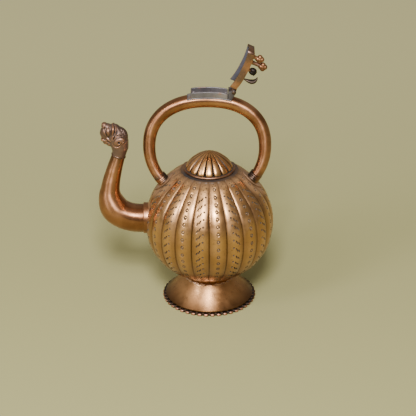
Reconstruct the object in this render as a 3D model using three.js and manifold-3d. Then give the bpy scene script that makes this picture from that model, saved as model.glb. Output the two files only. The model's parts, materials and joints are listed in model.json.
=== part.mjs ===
// Gangajali: a lobed brass ewer for carrying river water, with an animal-headed spout,
// a hollow loop handle that is also the filling pipe, and a hinged cap over the filler.
// Millimetres, +Z up. X runs along the handle plane, with the spout towards -X.
import * as THREE from 'three';
import { mergeVertices } from 'three/addons/utils/BufferGeometryUtils.js';
import Module from 'manifold-3d';

const wasm = await Module();
wasm.setup();

// Driving dimensions

// Gaps between neighbouring pieces
const seamGap = 0.3;
const pinClearance = 0.2;
const lidClearance = 1.4;
const lidTubeClearance = 0.6;

// Body: a raised sheet-metal bowl, chased into lobes
const bodyRadius = 62;
const bodyHalfHeight = 57.2;
const bodyFullness = 2.12;
const bodyWall = 1.4;
const bodyMouthRadius = 19;
const lobeCount = 22;
const grooveDepth = 1.6;
const grooveFadeStart = 62;
const grooveFadeEnd = 78;
const shoulderRise = 2.3;

// Foot: a flared skirt on a notched ring
const footHeight = 27;
const footNeckRadius = 21;
const footFlareRadius = 42.6;
const footFlarePower = 1.15;
const footWall = 1.5;
const rimRadius = 45.8;
const rimInnerRadius = 38.5;
const rimHeight = 2.6;
const rimNotchCount = 44;
const rimNotchDepth = 1.7;

// Dome soldered over the top of the body
const domeRadius = 22.4;
const domeHeight = 16.2;
const domeWall = 1.5;
const domeFluteCount = 16;
const domeFluteDepth = 1.5;
const domeRingRadius = 24.7;
const domeRingThickness = 2.4;

// Spout
const spoutHeight = 84.9;
const spoutRootRadius = 13.9;
const spoutBendRadius = 13.8;
const spoutShankRadius = 9.6;
const spoutTipRadius = 6.4;
const spoutReach = 33.4;
const spoutRise = 67.2;
const spoutWall = 1.3;
const spoutInset = 4;
const spoutCollarWidth = 0.9;
const spoutCollarLength = 1.8;
const neckBandWidth = 0.7;
const neckBandLength = 1.8;

// Animal head on the end of the spout
const headLength = 21;
const headHeight = 19;
const headWidth = 18.4;
const headRise = 22.5;
const mouthBoreRadius = 3.6;
const mouthWidth = 9.2;
const mouthOpening = 9.6;
const eyeRadius = 2.5;
const headEarLength = 11;
const headEarThickness = 2.4;

// Handle
const handleTubeRadius = 6.7;
const handleEndRadius = 5.1;
const handleWall = 1.25;
const handleHalfSpan = 55.1;
const handleWidestHeight = 160.5;
const handleArchRise = 48.8;
const handleLegDrop = 56;
const handleSquareness = 2.3;
const handleLean = -2;
const handleInset = 3;
const handleCollarWidth = 1.3;
const handleCollarLength = 4.4;
const handlePlateLength = 26;
const handlePlateWidth = 15;
const handlePlateThickness = 1.2;

// Filler on top of the handle
const fillerLength = 35;
const fillerWidth = 13.4;
const fillerWall = 1.3;
const fillerHeight = 5.2;
const fillerCornerRadius = 1.6;
const saddleLength = 42;
const saddleWidth = 15;
const saddleThickness = 0.7;
const saddleDepth = 2.8;
const saddleLip = 0.4;
const saddleSeat = 4.6;
const slotLength = 28;
const slotWidth = 8.6;

// Hinge and cap
const pinRadius = 1.05;
const pinHeadLength = 0.8;
const pinHeadLip = 0.7;
const knuckleRadius = 2.3;
const lidKnuckleWidth = 6.4;
const earWidth = 2.4;
const pinBehindFiller = 5.4;
const pinAboveRim = 1.3;
const lidWall = 1.2;
const lidSkirt = 5.4;
const lidOverhang = 2.6;
const strapWidth = 8.4;
const strapThickness = 0.8;
const strapLength = 13;
const lidOpenAngle = 115;

// Floral spray on the cap
const sprayBaseWidth = 5.6;
const sprayBaseThickness = 0.8;
const stalkRadius = 1.3;
const leafHeight = 12;
const leafHook = 6.5;
const leafThickness = 2.6;
const leafWidth = 5;
const budRadius = 3.7;
const budGap = 4.8;
const budLift = 2.6;
const petalRadius = 3.7;
const petalThickness = 2.6;
const endPetalLift = 2.4;
const upperPetalLift = 7.6;

// Facets
const tubeSides = 14;
const ringSides = 32;

// Derived places

// The body's outline is a little fuller than an ellipse: how far up its side a radius lies, and back
const bodyTilt = (share) => (1 - Math.abs(share) ** bodyFullness) ** (1 / bodyFullness);
const bodyCentre = footHeight + seamGap + bodyHalfHeight * bodyTilt(footNeckRadius / bodyRadius);
const bodyBottomAt = (radius) => bodyCentre - bodyHalfHeight * bodyTilt(radius / bodyRadius);
// Below 1 inside the body's outline grown by a distance, and above 1 outside it
function bodyReach(x, z, grow) {
  const across = Math.abs(x) / (bodyRadius + grow);
  const up = Math.abs(z - bodyCentre) / (bodyHalfHeight + grow);
  return across ** bodyFullness + up ** bodyFullness;
}
// The shoulder sweeps up to a flat land, which the dome's ring and the dome are soldered to
const bodyLand = bodyCentre + bodyHalfHeight * bodyTilt(domeRingRadius / bodyRadius) + shoulderRise;
const domeRingTop = bodyLand + seamGap + domeRingThickness;
const domeBase = domeRingTop + seamGap;

// Height of the handle's centreline above a point x on its arch
function archHeight(x) {
  const across = Math.min(1, Math.abs(x - handleLean) / handleHalfSpan);
  const rise = (1 - across ** handleSquareness) ** (1 / handleSquareness);
  return handleWidestHeight + handleArchRise * rise;
}

const saddleTop = saddleSeat + seamGap + saddleThickness;
const fillerBottom = saddleTop + seamGap;
const fillerTop = fillerBottom + fillerHeight;
const fillerRight = fillerLength / 2;
const pinX = fillerRight + pinBehindFiller;
const pinZ = archHeight(fillerRight) + fillerTop + pinAboveRim;

// Finishes

const finish = (color, roughness) => new THREE.MeshStandardMaterial({ color, roughness, metalness: 1 });
const brass = finish(0xa8783f, 0.34);
const copper = finish(0x8a4f2c, 0.3);
const oxidised = finish(0x5b5753, 0.5);
const darkSolder = finish(0x4a3524, 0.55);

const vessel = new THREE.Group();
const lid = new THREE.Group();
vessel.add(lid);

function place(parent, name, geometry, material) {
  geometry.computeVertexNormals();
  const mesh = new THREE.Mesh(geometry, material);
  mesh.name = name;
  parent.add(mesh);
}

// Shape tools

function signedVolume(position, index) {
  const corner = (i) => new THREE.Vector3().fromBufferAttribute(position, index.getX(i));
  let volume = 0;
  for (let i = 0; i < index.count; i += 3) {
    volume += corner(i).dot(corner(i + 1).cross(corner(i + 2))) / 6;
  }
  return volume;
}

// A closed geometry becomes a solid that can be joined and cut; its faces are turned outwards first
function solid(geometry) {
  const bare = geometry.clone();
  bare.deleteAttribute('normal');
  bare.deleteAttribute('uv');
  const merged = mergeVertices(bare, 1e-4);
  const triangles = Uint32Array.from(merged.index.array);
  if (signedVolume(merged.attributes.position, merged.index) < 0) {
    triangles.reverse();
  }
  const vertProperties = Float32Array.from(merged.attributes.position.array);
  return new wasm.Manifold(new wasm.Mesh({ numProp: 3, vertProperties, triVerts: triangles }));
}

function toGeometry(body) {
  const mesh = body.getMesh();
  const geometry = new THREE.BufferGeometry();
  geometry.setAttribute('position', new THREE.BufferAttribute(Float32Array.from(mesh.vertProperties), 3));
  geometry.setIndex(new THREE.BufferAttribute(Uint32Array.from(mesh.triVerts), 1));
  return geometry;
}

// A skin through rings of points: a closed loop of rings, or a stack closed at two tip points
function skin(rings, tips) {
  const count = rings[0].length;
  const points = rings.flat();
  const index = [];
  const bands = tips ? rings.length - 1 : rings.length;
  for (let band = 0; band < bands; band += 1) {
    const near = band * count;
    const far = ((band + 1) % rings.length) * count;
    for (let j = 0; j < count; j += 1) {
      const k = (j + 1) % count;
      index.push(near + j, near + k, far + k, near + j, far + k, far + j);
    }
  }
  if (tips) {
    const last = (rings.length - 1) * count;
    const firstTip = points.length;
    points.push(tips[0], tips[1]);
    for (let j = 0; j < count; j += 1) {
      const k = (j + 1) % count;
      index.push(firstTip, k, j, firstTip + 1, last + j, last + k);
    }
  }
  const geometry = new THREE.BufferGeometry().setFromPoints(points);
  geometry.setIndex(index);
  return geometry;
}

const middle = (ring) => ring.reduce((sum, p) => sum.add(p), new THREE.Vector3()).divideScalar(ring.length);
const stack = (rings) => skin(rings, [middle(rings[0]), middle(rings[rings.length - 1])]);

// A profile of [radius, height] pairs turned about the Z axis
function turned(profile, sides = ringSides) {
  const points = profile.map(([radius, height]) => new THREE.Vector2(radius, height));
  return new THREE.LatheGeometry(points, sides).rotateX(Math.PI / 2);
}

// A closed wall profile, turned about Z: the last point joins the first
const turnedRing = (profile, sides) => turned([...profile, profile[0]], sides);

// Turn a piece made along +Z so that it lies along a direction, and set it at a point
function aim(geometry, direction, point) {
  const turn = new THREE.Quaternion().setFromUnitVectors(new THREE.Vector3(0, 0, 1), direction);
  return geometry.applyQuaternion(turn).translate(point.x, point.y, point.z);
}

// A round section across a curve that lies in the XZ plane
function section(curve, u, radius, sides = tubeSides) {
  const centre = curve.getPointAt(u);
  const along = curve.getTangentAt(u);
  const across = new THREE.Vector3(0, 1, 0);
  const out = new THREE.Vector3().crossVectors(across, along);
  return Array.from({ length: sides }, (_, j) => {
    const angle = (j / sides) * 2 * Math.PI;
    return centre.clone().addScaledVector(out, radius * Math.cos(angle))
      .addScaledVector(across, radius * Math.sin(angle));
  });
}

const spread = (steps) => Array.from({ length: steps + 1 }, (_, i) => i / steps);

const rod = (curve, radiusAt, steps) => stack(spread(steps).map((u) => section(curve, u, radiusAt(u))));

function pipe(curve, radiusAt, wall, steps) {
  const outer = spread(steps).map((u) => section(curve, u, radiusAt(u)));
  const inner = spread(steps).map((u) => section(curve, u, radiusAt(u) - wall));
  return skin([...outer, ...inner.reverse()]);
}

// An outline in the XZ plane, given width along Y about the middle plane
function slab(outline, width) {
  const shape = new THREE.Shape(outline.map(([x, z]) => new THREE.Vector2(x, z)));
  const geometry = new THREE.ExtrudeGeometry(shape, { depth: width, bevelEnabled: false });
  return geometry.rotateX(Math.PI / 2).translate(0, width / 2, 0);
}

// A band between two heights above the handle's arch, which follows its curve
function archBand(left, right, low, high, width) {
  const steps = 8;
  const xs = spread(steps).map((t) => left + (right - left) * t);
  const top = xs.map((x) => [x, archHeight(x) + high]);
  const bottom = xs.map((x) => [x, archHeight(x) + low]).reverse();
  return slab([...top, ...bottom], width);
}

function roundedRectangle(length, width, corner) {
  const x = length / 2;
  const y = width / 2;
  const shape = new THREE.Shape();
  shape.moveTo(-x + corner, -y);
  shape.lineTo(x - corner, -y);
  shape.absarc(x - corner, -y + corner, corner, -Math.PI / 2, 0);
  shape.lineTo(x, y - corner);
  shape.absarc(x - corner, y - corner, corner, 0, Math.PI / 2);
  shape.lineTo(-x + corner, y);
  shape.absarc(-x + corner, y - corner, corner, Math.PI / 2, Math.PI);
  shape.lineTo(-x, -y + corner);
  shape.absarc(-x + corner, -y + corner, corner, Math.PI, 1.5 * Math.PI);
  return shape;
}

function prism(shape, low, high) {
  const cornerSteps = 3;
  const options = { depth: high - low, bevelEnabled: false, curveSegments: cornerSteps };
  return new THREE.ExtrudeGeometry(shape, options).translate(0, 0, low);
}

// Lobes with a narrow groove between them: where the columns of one lobe stand, and how deep they are
const chasedLobe = [
  { at: 0, depth: 1 },
  { at: 0.18, depth: 0.1 },
  { at: 0.82, depth: 0.1 },
];
const plainLobe = [
  { at: 0, depth: 1 },
  { at: 0.5, depth: 0 },
];

function lobedRing(count, radius, depth, height, firstGroove, columns = chasedLobe) {
  return Array.from({ length: count }, (_, lobe) => columns.map((column) => {
    const angle = firstGroove + ((lobe + column.at) / count) * 2 * Math.PI;
    const reach = radius - depth * column.depth;
    return new THREE.Vector3(reach * Math.cos(angle), reach * Math.sin(angle), height);
  })).flat();
}

// Body

// The lobed bowl, grown outwards by a distance; the grooves fade out towards the poles
function bowl(grow, columns = chasedLobe) {
  const latitudeStep = 12;
  const lastLatitude = 78;
  const landLatitude = 60;
  const power = 2 / bodyFullness;
  const rings = [];
  for (let latitude = -lastLatitude; latitude <= lastLatitude; latitude += latitudeStep) {
    const angle = THREE.MathUtils.degToRad(latitude);
    const fade = 1 - THREE.MathUtils.smoothstep(Math.abs(latitude), grooveFadeStart, grooveFadeEnd);
    const radius = (bodyRadius + grow) * Math.cos(angle) ** power;
    const rise = Math.sign(latitude) * Math.abs(Math.sin(angle)) ** power;
    const height = latitude > landLatitude ? bodyLand + grow : bodyCentre + (bodyHalfHeight + grow) * rise;
    rings.push(lobedRing(lobeCount, radius, grooveDepth * fade, height, -Math.PI / 2, columns));
  }
  const bottom = new THREE.Vector3(0, 0, bodyCentre - bodyHalfHeight - grow);
  const top = new THREE.Vector3(0, 0, bodyLand + grow);
  return solid(skin(rings, [bottom, top]));
}

const bodySeat = bowl(seamGap);

// Handle centreline: a squared arch above its widest height and a plain ellipse below it
class HandleCurve extends THREE.Curve {
  constructor(endAngle) {
    super();
    this.endAngle = endAngle;
  }

  getPoint(t) {
    const angle = Math.PI + this.endAngle - t * (Math.PI + 2 * this.endAngle);
    const power = Math.sin(angle) > 0 ? 2 / handleSquareness : 1;
    const drop = Math.sin(angle) > 0 ? handleArchRise : handleLegDrop;
    const across = Math.sign(Math.cos(angle)) * Math.abs(Math.cos(angle)) ** power;
    const up = Math.sign(Math.sin(angle)) * Math.abs(Math.sin(angle)) ** power;
    const x = handleLean + handleHalfSpan * across;
    return new THREE.Vector3(x, 0, handleWidestHeight + drop * up);
  }
}

// How far round the leg goes before its end lies just inside the body's wall
function handleEndAngle() {
  const inside = (angle) => {
    const x = handleHalfSpan * Math.cos(angle) + Math.abs(handleLean);
    const z = handleWidestHeight - handleLegDrop * Math.sin(angle);
    return bodyReach(x, z, -handleInset) < 1;
  };
  let angle = 0;
  const step = 0.002;
  while (!inside(angle) && angle < Math.PI / 2) {
    angle += step;
  }
  return angle;
}

const handleCurve = new HandleCurve(handleEndAngle());
const handleEnds = [['left', 0], ['right', 1]].map(([side, start]) => {
  const outward = handleCurve.getTangentAt(start).multiplyScalar(start ? -1 : 1);
  return { side, start, point: handleCurve.getPointAt(start), outward };
});

// A leg's own measure: the place on the curve at a distance from the leg's end
const handleLength = handleCurve.getLength();
const alongLeg = (end, distance) => Math.abs(end.start - distance / handleLength);

// How far from its end a leg comes out of the body grown by a distance
function emerges(end, grow) {
  const step = seamGap / 4;
  let distance = 0;
  let point = end.point;
  while (bodyReach(point.x, point.z, grow) < 1 && distance < handleLength / 2) {
    distance += step;
    point = handleCurve.getPointAt(alongLeg(end, distance));
  }
  return distance;
}

// How steeply the body's side lies to a leg that comes out of it, as rise over run
function rootSlope(end, distance) {
  const point = handleCurve.getPointAt(alongLeg(end, distance));
  const power = bodyFullness - 1;
  const across = Math.sign(point.x) * (Math.abs(point.x) / bodyRadius) ** power / bodyRadius;
  const up = ((point.z - bodyCentre) / bodyHalfHeight) ** power / bodyHalfHeight;
  const facing = new THREE.Vector3(across, 0, up).normalize().dot(end.outward);
  return Math.sqrt(Math.max(0, 1 / facing ** 2 - 1));
}

// The tube keeps its full size over the top of the arch and narrows down both legs
function handleRadius(u) {
  const toEnd = 2 * Math.abs(u - 0.5);
  const fullUntil = 0.2;
  const taper = Math.max(0, (toEnd - fullUntil) / (1 - fullUntil)) ** 1.3;
  return THREE.MathUtils.lerp(handleTubeRadius, handleEndRadius, taper);
}

// The room that the tube takes up, which the body, its plates, collars and saddle are cut to fit
const handleSteps = 28;
const tubeRoom = solid(rod(handleCurve, (u) => handleRadius(u) + seamGap, handleSteps));

// Spout centreline: straight out of the body, round a low belly, then up in a shallow S
const bodySide = bodyRadius * bodyTilt((spoutHeight - bodyCentre) / bodyHalfHeight);
const spoutStart = -bodySide + spoutInset;
const spoutFront = -bodySide - spoutReach;
const spoutCurve = new THREE.CatmullRomCurve3([
  new THREE.Vector3(spoutStart, 0, spoutHeight),
  new THREE.Vector3(-bodySide - 0.26 * spoutReach, 0, spoutHeight),
  new THREE.Vector3(-bodySide - 0.58 * spoutReach, 0, spoutHeight + 0.04 * spoutRise),
  new THREE.Vector3(-bodySide - 0.86 * spoutReach, 0, spoutHeight + 0.14 * spoutRise),
  new THREE.Vector3(spoutFront, 0, spoutHeight + 0.33 * spoutRise),
  new THREE.Vector3(spoutFront + 0.02 * spoutReach, 0, spoutHeight + 0.53 * spoutRise),
  new THREE.Vector3(spoutFront + 0.13 * spoutReach, 0, spoutHeight + 0.77 * spoutRise),
  new THREE.Vector3(spoutFront + 0.265 * spoutReach, 0, spoutHeight + spoutRise),
], false, 'catmullrom', 0.5);

// Spout radius along its length: nearly even round the belly, then a long taper up the shank
function spoutRadius(u) {
  const { lerp, smoothstep } = THREE.MathUtils;
  const belly = lerp(spoutRootRadius, spoutBendRadius, Math.min(1, u / 0.4));
  const shank = lerp(spoutBendRadius, spoutShankRadius, smoothstep(u, 0.38, 0.63));
  const taper = Math.max(0, (u - 0.58) / 0.42) ** 0.8;
  return Math.min(belly, shank) - taper * (spoutShankRadius - spoutTipRadius);
}

// The flats of a hole's facets lie on its stated radius, so that a tube of that radius passes
const acrossCorners = (radius) => radius / Math.cos(Math.PI / tubeSides);

function roundHole(radius, direction, point, reach) {
  const wide = acrossCorners(radius);
  const cutter = new THREE.CylinderGeometry(wide, wide, 2 * reach, tubeSides).rotateX(Math.PI / 2);
  return solid(aim(cutter, direction, point));
}

const alongX = new THREE.Vector3(-1, 0, 0);
// How far a cutter reaches to pass right through a wall
const throughWall = bodyRadius / 4;

function buildBody() {
  let shell = bowl(0).subtract(bowl(-bodyWall, plainLobe));
  const top = new THREE.Vector3(0, 0, bodyLand);
  shell = shell.subtract(roundHole(bodyMouthRadius, new THREE.Vector3(0, 0, 1), top, throughWall));
  const root = new THREE.Vector3(-bodySide, 0, spoutHeight);
  shell = shell.subtract(roundHole(spoutRootRadius + seamGap, alongX, root, throughWall));
  place(vessel, 'body_shell', toGeometry(shell.subtract(tubeRoom)), brass);
}

// Foot

function buildFoot() {
  const flareTop = rimHeight + seamGap;
  const neckInside = footNeckRadius - footWall;
  const flareRun = footFlareRadius - footNeckRadius;
  const flareRise = footHeight - flareTop;
  // The skirt: nearly a straight cone, drawn in a little towards its neck
  const flare = (t) => [
    footNeckRadius + flareRun * (1 - t) ** footFlarePower,
    flareTop + footWall + (flareRise - footWall) * t,
  ];
  const turns = spread(6).map(flare);
  const underside = ([radius, height]) => [radius - footWall, height - footWall];
  const neckEdge = [neckInside, bodyBottomAt(neckInside) - seamGap];
  const edge = [footFlareRadius, flareTop];
  const skirt = turnedRing([edge, ...turns, neckEdge, ...turns.slice(0, -1).reverse().map(underside)]);
  place(vessel, 'foot', toGeometry(solid(skirt)), brass);

  const notches = lobedRing(rimNotchCount, rimRadius, rimNotchDepth, 0, 0);
  const outline = new THREE.Shape(notches.map((p) => new THREE.Vector2(p.x, p.y)));
  const hole = new THREE.Path().absarc(0, 0, rimInnerRadius, 0, 2 * Math.PI, true);
  outline.holes.push(hole);
  const options = { depth: rimHeight, bevelEnabled: false, curveSegments: 22 };
  const ring = new THREE.ExtrudeGeometry(outline, options);
  place(vessel, 'foot_rim', toGeometry(solid(ring)), brass);
}

// Dome

function domeProfile(t) {
  const radius = Math.cos(t * Math.PI / 2) ** 0.98;
  const height = 0.75 * Math.sin(t * Math.PI / 2) + 0.25 * t ** 2;
  return [radius, height];
}

function domeBody(grow, drop, columns = chasedLobe) {
  const rings = spread(7).slice(0, -1).map((t) => {
    const [radius, height] = domeProfile(t);
    const depth = domeFluteDepth * radius ** 0.5;
    const rise = domeBase - drop * (t === 0 ? 1 : 0) + (domeHeight + grow) * height;
    const firstGroove = -Math.PI / 2 + Math.PI / domeFluteCount;
    return lobedRing(domeFluteCount, (domeRadius + grow) * radius, depth, rise, firstGroove, columns);
  });
  const base = new THREE.Vector3(0, 0, domeBase - drop);
  return solid(skin(rings, [base, new THREE.Vector3(0, 0, domeBase + domeHeight + grow)]));
}

function buildDome() {
  const belowBase = 1;
  const cap = domeBody(0, 0).subtract(domeBody(-domeWall, belowBase, plainLobe));
  place(vessel, 'dome_cap', toGeometry(cap), brass);

  const softEdge = domeRingThickness / 2;
  const ring = turnedRing([
    [bodyMouthRadius, bodyLand + seamGap],
    [domeRingRadius, bodyLand + seamGap],
    [domeRingRadius, domeRingTop - softEdge],
    [domeRingRadius - softEdge, domeRingTop],
    [bodyMouthRadius, domeRingTop],
  ]);
  place(vessel, 'dome_ring', toGeometry(solid(ring)), copper);
}

// Spout

const spoutEnd = spoutCurve.getPointAt(1);
const spoutLeaves = spoutCurve.getTangentAt(1);

function buildSpout() {
  place(vessel, 'spout_tube', toGeometry(solid(pipe(spoutCurve, spoutRadius, spoutWall, 20))), copper);

  const inner = spoutRootRadius + seamGap;
  const outer = inner + spoutCollarWidth;
  const into = -spoutInset;
  const half = spoutCollarWidth / 2;
  const collar = turnedRing([
    [inner, into],
    [outer, into],
    [outer, spoutCollarLength - half],
    [outer - half, spoutCollarLength],
    [inner, spoutCollarLength],
  ], 2 * tubeSides);
  aim(collar, alongX, new THREE.Vector3(-bodySide, 0, spoutHeight));
  place(vessel, 'spout_collar', toGeometry(solid(collar).subtract(bodySeat)), copper);

  const bandInner = spoutTipRadius + seamGap;
  const band = turnedRing([
    [bandInner, -neckBandLength / 2],
    [bandInner + neckBandWidth, -neckBandLength / 4],
    [bandInner + neckBandWidth, neckBandLength / 4],
    [bandInner, neckBandLength / 2],
  ], tubeSides);
  place(vessel, 'spout_neck_band', toGeometry(solid(aim(band, spoutLeaves, spoutEnd.clone()))), darkSolder);
}

// Head: oval sections that climb from the neck, lean forward over the brow and end at the open mouth

function ovalSection(centre, lean, halfDepth, halfWidth, sides = 16) {
  const turn = THREE.MathUtils.degToRad(lean);
  const back = new THREE.Vector3(Math.sin(turn), 0, Math.cos(turn));
  return Array.from({ length: sides }, (_, j) => {
    const angle = (j / sides) * 2 * Math.PI;
    return centre.clone().addScaledVector(back, halfDepth * Math.cos(angle))
      .add(new THREE.Vector3(0, halfWidth * Math.sin(angle), 0));
  });
}

function buildHead() {
  const neck = spoutEnd.clone().addScaledVector(spoutLeaves, seamGap);
  const at = (forward, up) => new THREE.Vector3(neck.x - forward * headLength, 0, neck.z + up * headRise);
  const neckLean = 90 - THREE.MathUtils.radToDeg(Math.atan2(-spoutLeaves.x, spoutLeaves.z));
  const half = headHeight / 2;
  const wide = headWidth / 2;
  const bandReach = neckBandLength / 2 + seamGap;
  const aboveBand = neck.clone().addScaledVector(spoutLeaves, bandReach);
  const rings = [
    ovalSection(neck, neckLean, spoutTipRadius, spoutTipRadius),
    ovalSection(aboveBand, neckLean, spoutTipRadius, spoutTipRadius),
    ovalSection(at(-0.05, 0.3), 84, 0.81 * half, 0.86 * wide),
    ovalSection(at(0.0, 0.56), 64, 1.0 * half, 0.96 * wide),
    ovalSection(at(0.13, 0.84), 34, 1.13 * half, wide),
    ovalSection(at(0.36, 1.0), 12, 1.06 * half, 0.96 * wide),
    ovalSection(at(0.58, 1.02), 2, 0.9 * half, 0.82 * wide),
    ovalSection(at(0.76, 1.01), 0, 0.73 * half, 0.7 * wide),
  ];
  let head = solid(stack(rings));

  // Upturned snout over the mouth
  const snout = [
    ovalSection(at(0.4, 1.24), -20, 0.3 * half, 0.46 * wide),
    ovalSection(at(0.56, 1.36), -34, 0.26 * half, 0.44 * wide),
    ovalSection(at(0.66, 1.44), -50, 0.2 * half, 0.34 * wide),
  ];
  head = head.add(solid(stack(snout)));

  for (const side of [-1, 1]) {
    const eye = new THREE.SphereGeometry(eyeRadius, 10, 6).scale(0.8, 0.7, 1.2);
    const socket = at(0.36, 1.2);
    head = head.add(solid(eye.translate(socket.x, side * 0.84 * wide, socket.z)));
    const leaf = new THREE.Shape();
    leaf.moveTo(0, 0);
    leaf.quadraticCurveTo(0.1 * headEarLength, 0.62 * headEarLength, headEarLength, 0.3 * headEarLength);
    leaf.quadraticCurveTo(0.7 * headEarLength, -0.35 * headEarLength, 0, 0);
    const options = { depth: headEarThickness, bevelEnabled: false, curveSegments: 5 };
    const ear = new THREE.ExtrudeGeometry(leaf, options).translate(0, 0, -headEarThickness / 2);
    ear.rotateX(Math.PI / 2).rotateY(-Math.PI / 7);
    const root = at(0.17, 0.6);
    head = head.add(solid(ear.translate(root.x, side * 0.97 * wide, root.z)));
  }

  // Water way from the neck to the mouth, which flares open at the lips
  const way = new THREE.CatmullRomCurve3([
    neck.clone().addScaledVector(spoutLeaves, -seamGap),
    at(-0.06, 0.35),
    at(0.04, 0.72),
    at(0.4, 0.98),
    at(0.8, 1.0),
  ]);
  head = head.subtract(solid(rod(way, () => mouthBoreRadius, 14)));
  const lips = [
    ovalSection(at(0.46, 0.99), 0, 0.7 * mouthBoreRadius, 0.7 * mouthBoreRadius),
    ovalSection(at(0.8, 1.0), 0, mouthOpening / 2, mouthWidth / 2),
  ];
  head = head.subtract(solid(stack(lips)));
  place(vessel, 'spout_head', toGeometry(head), copper);
}

// Handle

// The crown of the tube is filed flat under the saddle, and slotted through for the water
function crownCut(seat, extra) {
  const half = saddleLength / 2 + extra;
  return solid(archBand(-half, half, seat, 2 * handleTubeRadius, 4 * handleTubeRadius));
}

function slotCutter() {
  return solid(archBand(-slotLength / 2, slotLength / 2, 0, 2 * handleTubeRadius, slotWidth));
}

function buildHandle() {
  const tube = solid(pipe(handleCurve, handleRadius, handleWall, handleSteps))
    .subtract(crownCut(saddleSeat, seamGap)).subtract(slotCutter());
  place(vessel, 'handle_tube', toGeometry(tube), copper);

  const plateOuter = bowl(seamGap + handlePlateThickness);
  const collarSeat = bowl(2 * seamGap + handlePlateThickness);
  const up = new THREE.Vector3(0, 0, 1);
  const ringRoom = roundHole(domeRingRadius + seamGap, up, new THREE.Vector3(0, 0, bodyLand), throughWall);
  for (const end of handleEnds) {
    // Ribbed collar: it follows the leg from under the plate to its full length above the plate
    const outer = handleEndRadius + seamGap + handleCollarWidth;
    const waist = outer - handleCollarWidth / 2;
    const rib = handleCollarLength / 4;
    const out = emerges(end, seamGap + handlePlateThickness + seamGap);
    const lean = outer * rootSlope(end, out);
    const rings = [
      [-lean - handlePlateThickness, outer],
      [lean + rib, outer],
      [lean + 1.5 * rib, waist],
      [lean + 2.5 * rib, waist],
      [lean + 3 * rib, outer],
      [lean + handleCollarLength, waist],
    ].map(([distance, radius]) => section(handleCurve, alongLeg(end, out + distance), radius));
    const ring = solid(stack(rings)).subtract(collarSeat).subtract(tubeRoom);
    place(vessel, `handle_collar_${end.side}`, toGeometry(ring), darkSolder);

    // Leaf-shaped plate, cut from a skin that lies over the lobe
    const leaf = new THREE.Shape();
    const reach = handlePlateLength / 2;
    const width = handlePlateWidth / 2;
    leaf.moveTo(-reach, 0);
    leaf.bezierCurveTo(-0.6 * reach, -1.2 * width, 0.6 * reach, -1.2 * width, reach, 0);
    leaf.bezierCurveTo(0.6 * reach, 1.2 * width, -0.6 * reach, 1.2 * width, -reach, 0);
    const options = { depth: 2 * throughWall, bevelEnabled: false, curveSegments: 9 };
    const cutter = new THREE.ExtrudeGeometry(leaf, options).translate(0, 0, -throughWall);
    const overLobe = plateOuter.subtract(bodySeat);
    const plate = overLobe.intersect(solid(aim(cutter, end.outward, end.point)));
    const fitted = plate.subtract(tubeRoom).subtract(ringRoom);
    place(vessel, `handle_plate_${end.side}`, toGeometry(fitted), brass);
  }
}

// Filler

function buildFiller() {
  // Saddle: a flat plate on the filed crown of the tube, with lips down its shoulders
  const half = saddleLength / 2;
  const sections = spread(10).map((t) => {
    const x = -half + saddleLength * t;
    const z = archHeight(x);
    const edge = saddleWidth / 2;
    const waist = handleTubeRadius + saddleLip;
    const outline = [
      [-waist, saddleTop - saddleDepth],
      [waist, saddleTop - saddleDepth],
      [edge, saddleTop - saddleThickness],
      [edge, saddleTop],
      [-edge, saddleTop],
      [-edge, saddleTop - saddleThickness],
    ];
    return outline.map(([y, rise]) => new THREE.Vector3(x, y, z + rise));
  });
  const filedRoom = tubeRoom.subtract(crownCut(saddleSeat + seamGap, seamGap));
  const saddle = solid(stack(sections)).subtract(filedRoom).subtract(slotCutter());
  place(vessel, 'filler_saddle', toGeometry(saddle), oxidised);

  const outline = roundedRectangle(fillerLength, fillerWidth, fillerCornerRadius);
  const innerCorner = Math.max(0.2, fillerCornerRadius - fillerWall);
  const inner = roundedRectangle(fillerLength - 2 * fillerWall, fillerWidth - 2 * fillerWall, innerCorner);
  const low = handleWidestHeight;
  const high = archHeight(0) + 2 * fillerTop;
  const walls = solid(prism(outline, low, high)).subtract(solid(prism(inner, low - 1, high + 1)));
  const band = solid(archBand(-fillerLength, fillerLength, fillerBottom, fillerTop, 2 * fillerWidth));
  place(vessel, 'filler_collar', toGeometry(walls.intersect(band)), oxidised);
}

// Hinge

function knuckle(width) {
  return solid(new THREE.CylinderGeometry(knuckleRadius, knuckleRadius, width, tubeSides));
}

function pinHole(width) {
  const radius = acrossCorners(pinRadius + pinClearance);
  return solid(new THREE.CylinderGeometry(radius, radius, 2 * width, tubeSides));
}

const earMiddle = lidKnuckleWidth / 2 + seamGap + earWidth / 2;

function buildHinge() {
  for (const [name, side] of [['hinge_ear_near', -1], ['hinge_ear_far', 1]]) {
    const wallX = fillerRight + seamGap - pinX;
    const footX = saddleLength / 2 - pinX;
    const footAt = (x) => archHeight(pinX + x) + fillerBottom - pinZ;
    const bracket = solid(slab([
      [wallX, footAt(wallX)],
      [footX, footAt(footX)],
      [knuckleRadius * 0.8, -knuckleRadius * 0.6],
      [0, knuckleRadius],
      [wallX, knuckleRadius * 0.2],
    ], earWidth));
    const ear = bracket.add(knuckle(earWidth)).subtract(pinHole(earWidth));
    const geometry = toGeometry(ear).translate(pinX, side * earMiddle, pinZ);
    place(vessel, name, geometry, oxidised);
  }
  const shank = lidKnuckleWidth + 2 * (seamGap + earWidth + seamGap);
  const head = pinRadius + pinHeadLip;
  const pin = turned([
    [0, -shank / 2 - pinHeadLength],
    [head, -shank / 2 - pinHeadLength],
    [head, -shank / 2],
    [pinRadius, -shank / 2],
    [pinRadius, shank / 2],
    [head, shank / 2],
    [head, shank / 2 + pinHeadLength],
    [0, shank / 2 + pinHeadLength],
  ], 12);
  pin.rotateX(Math.PI / 2).translate(pinX, 0, pinZ);
  place(vessel, 'hinge_pin', toGeometry(solid(pin)), darkSolder);
}

// Cap, modelled shut over the filler, with the hinge pin as its origin

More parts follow.
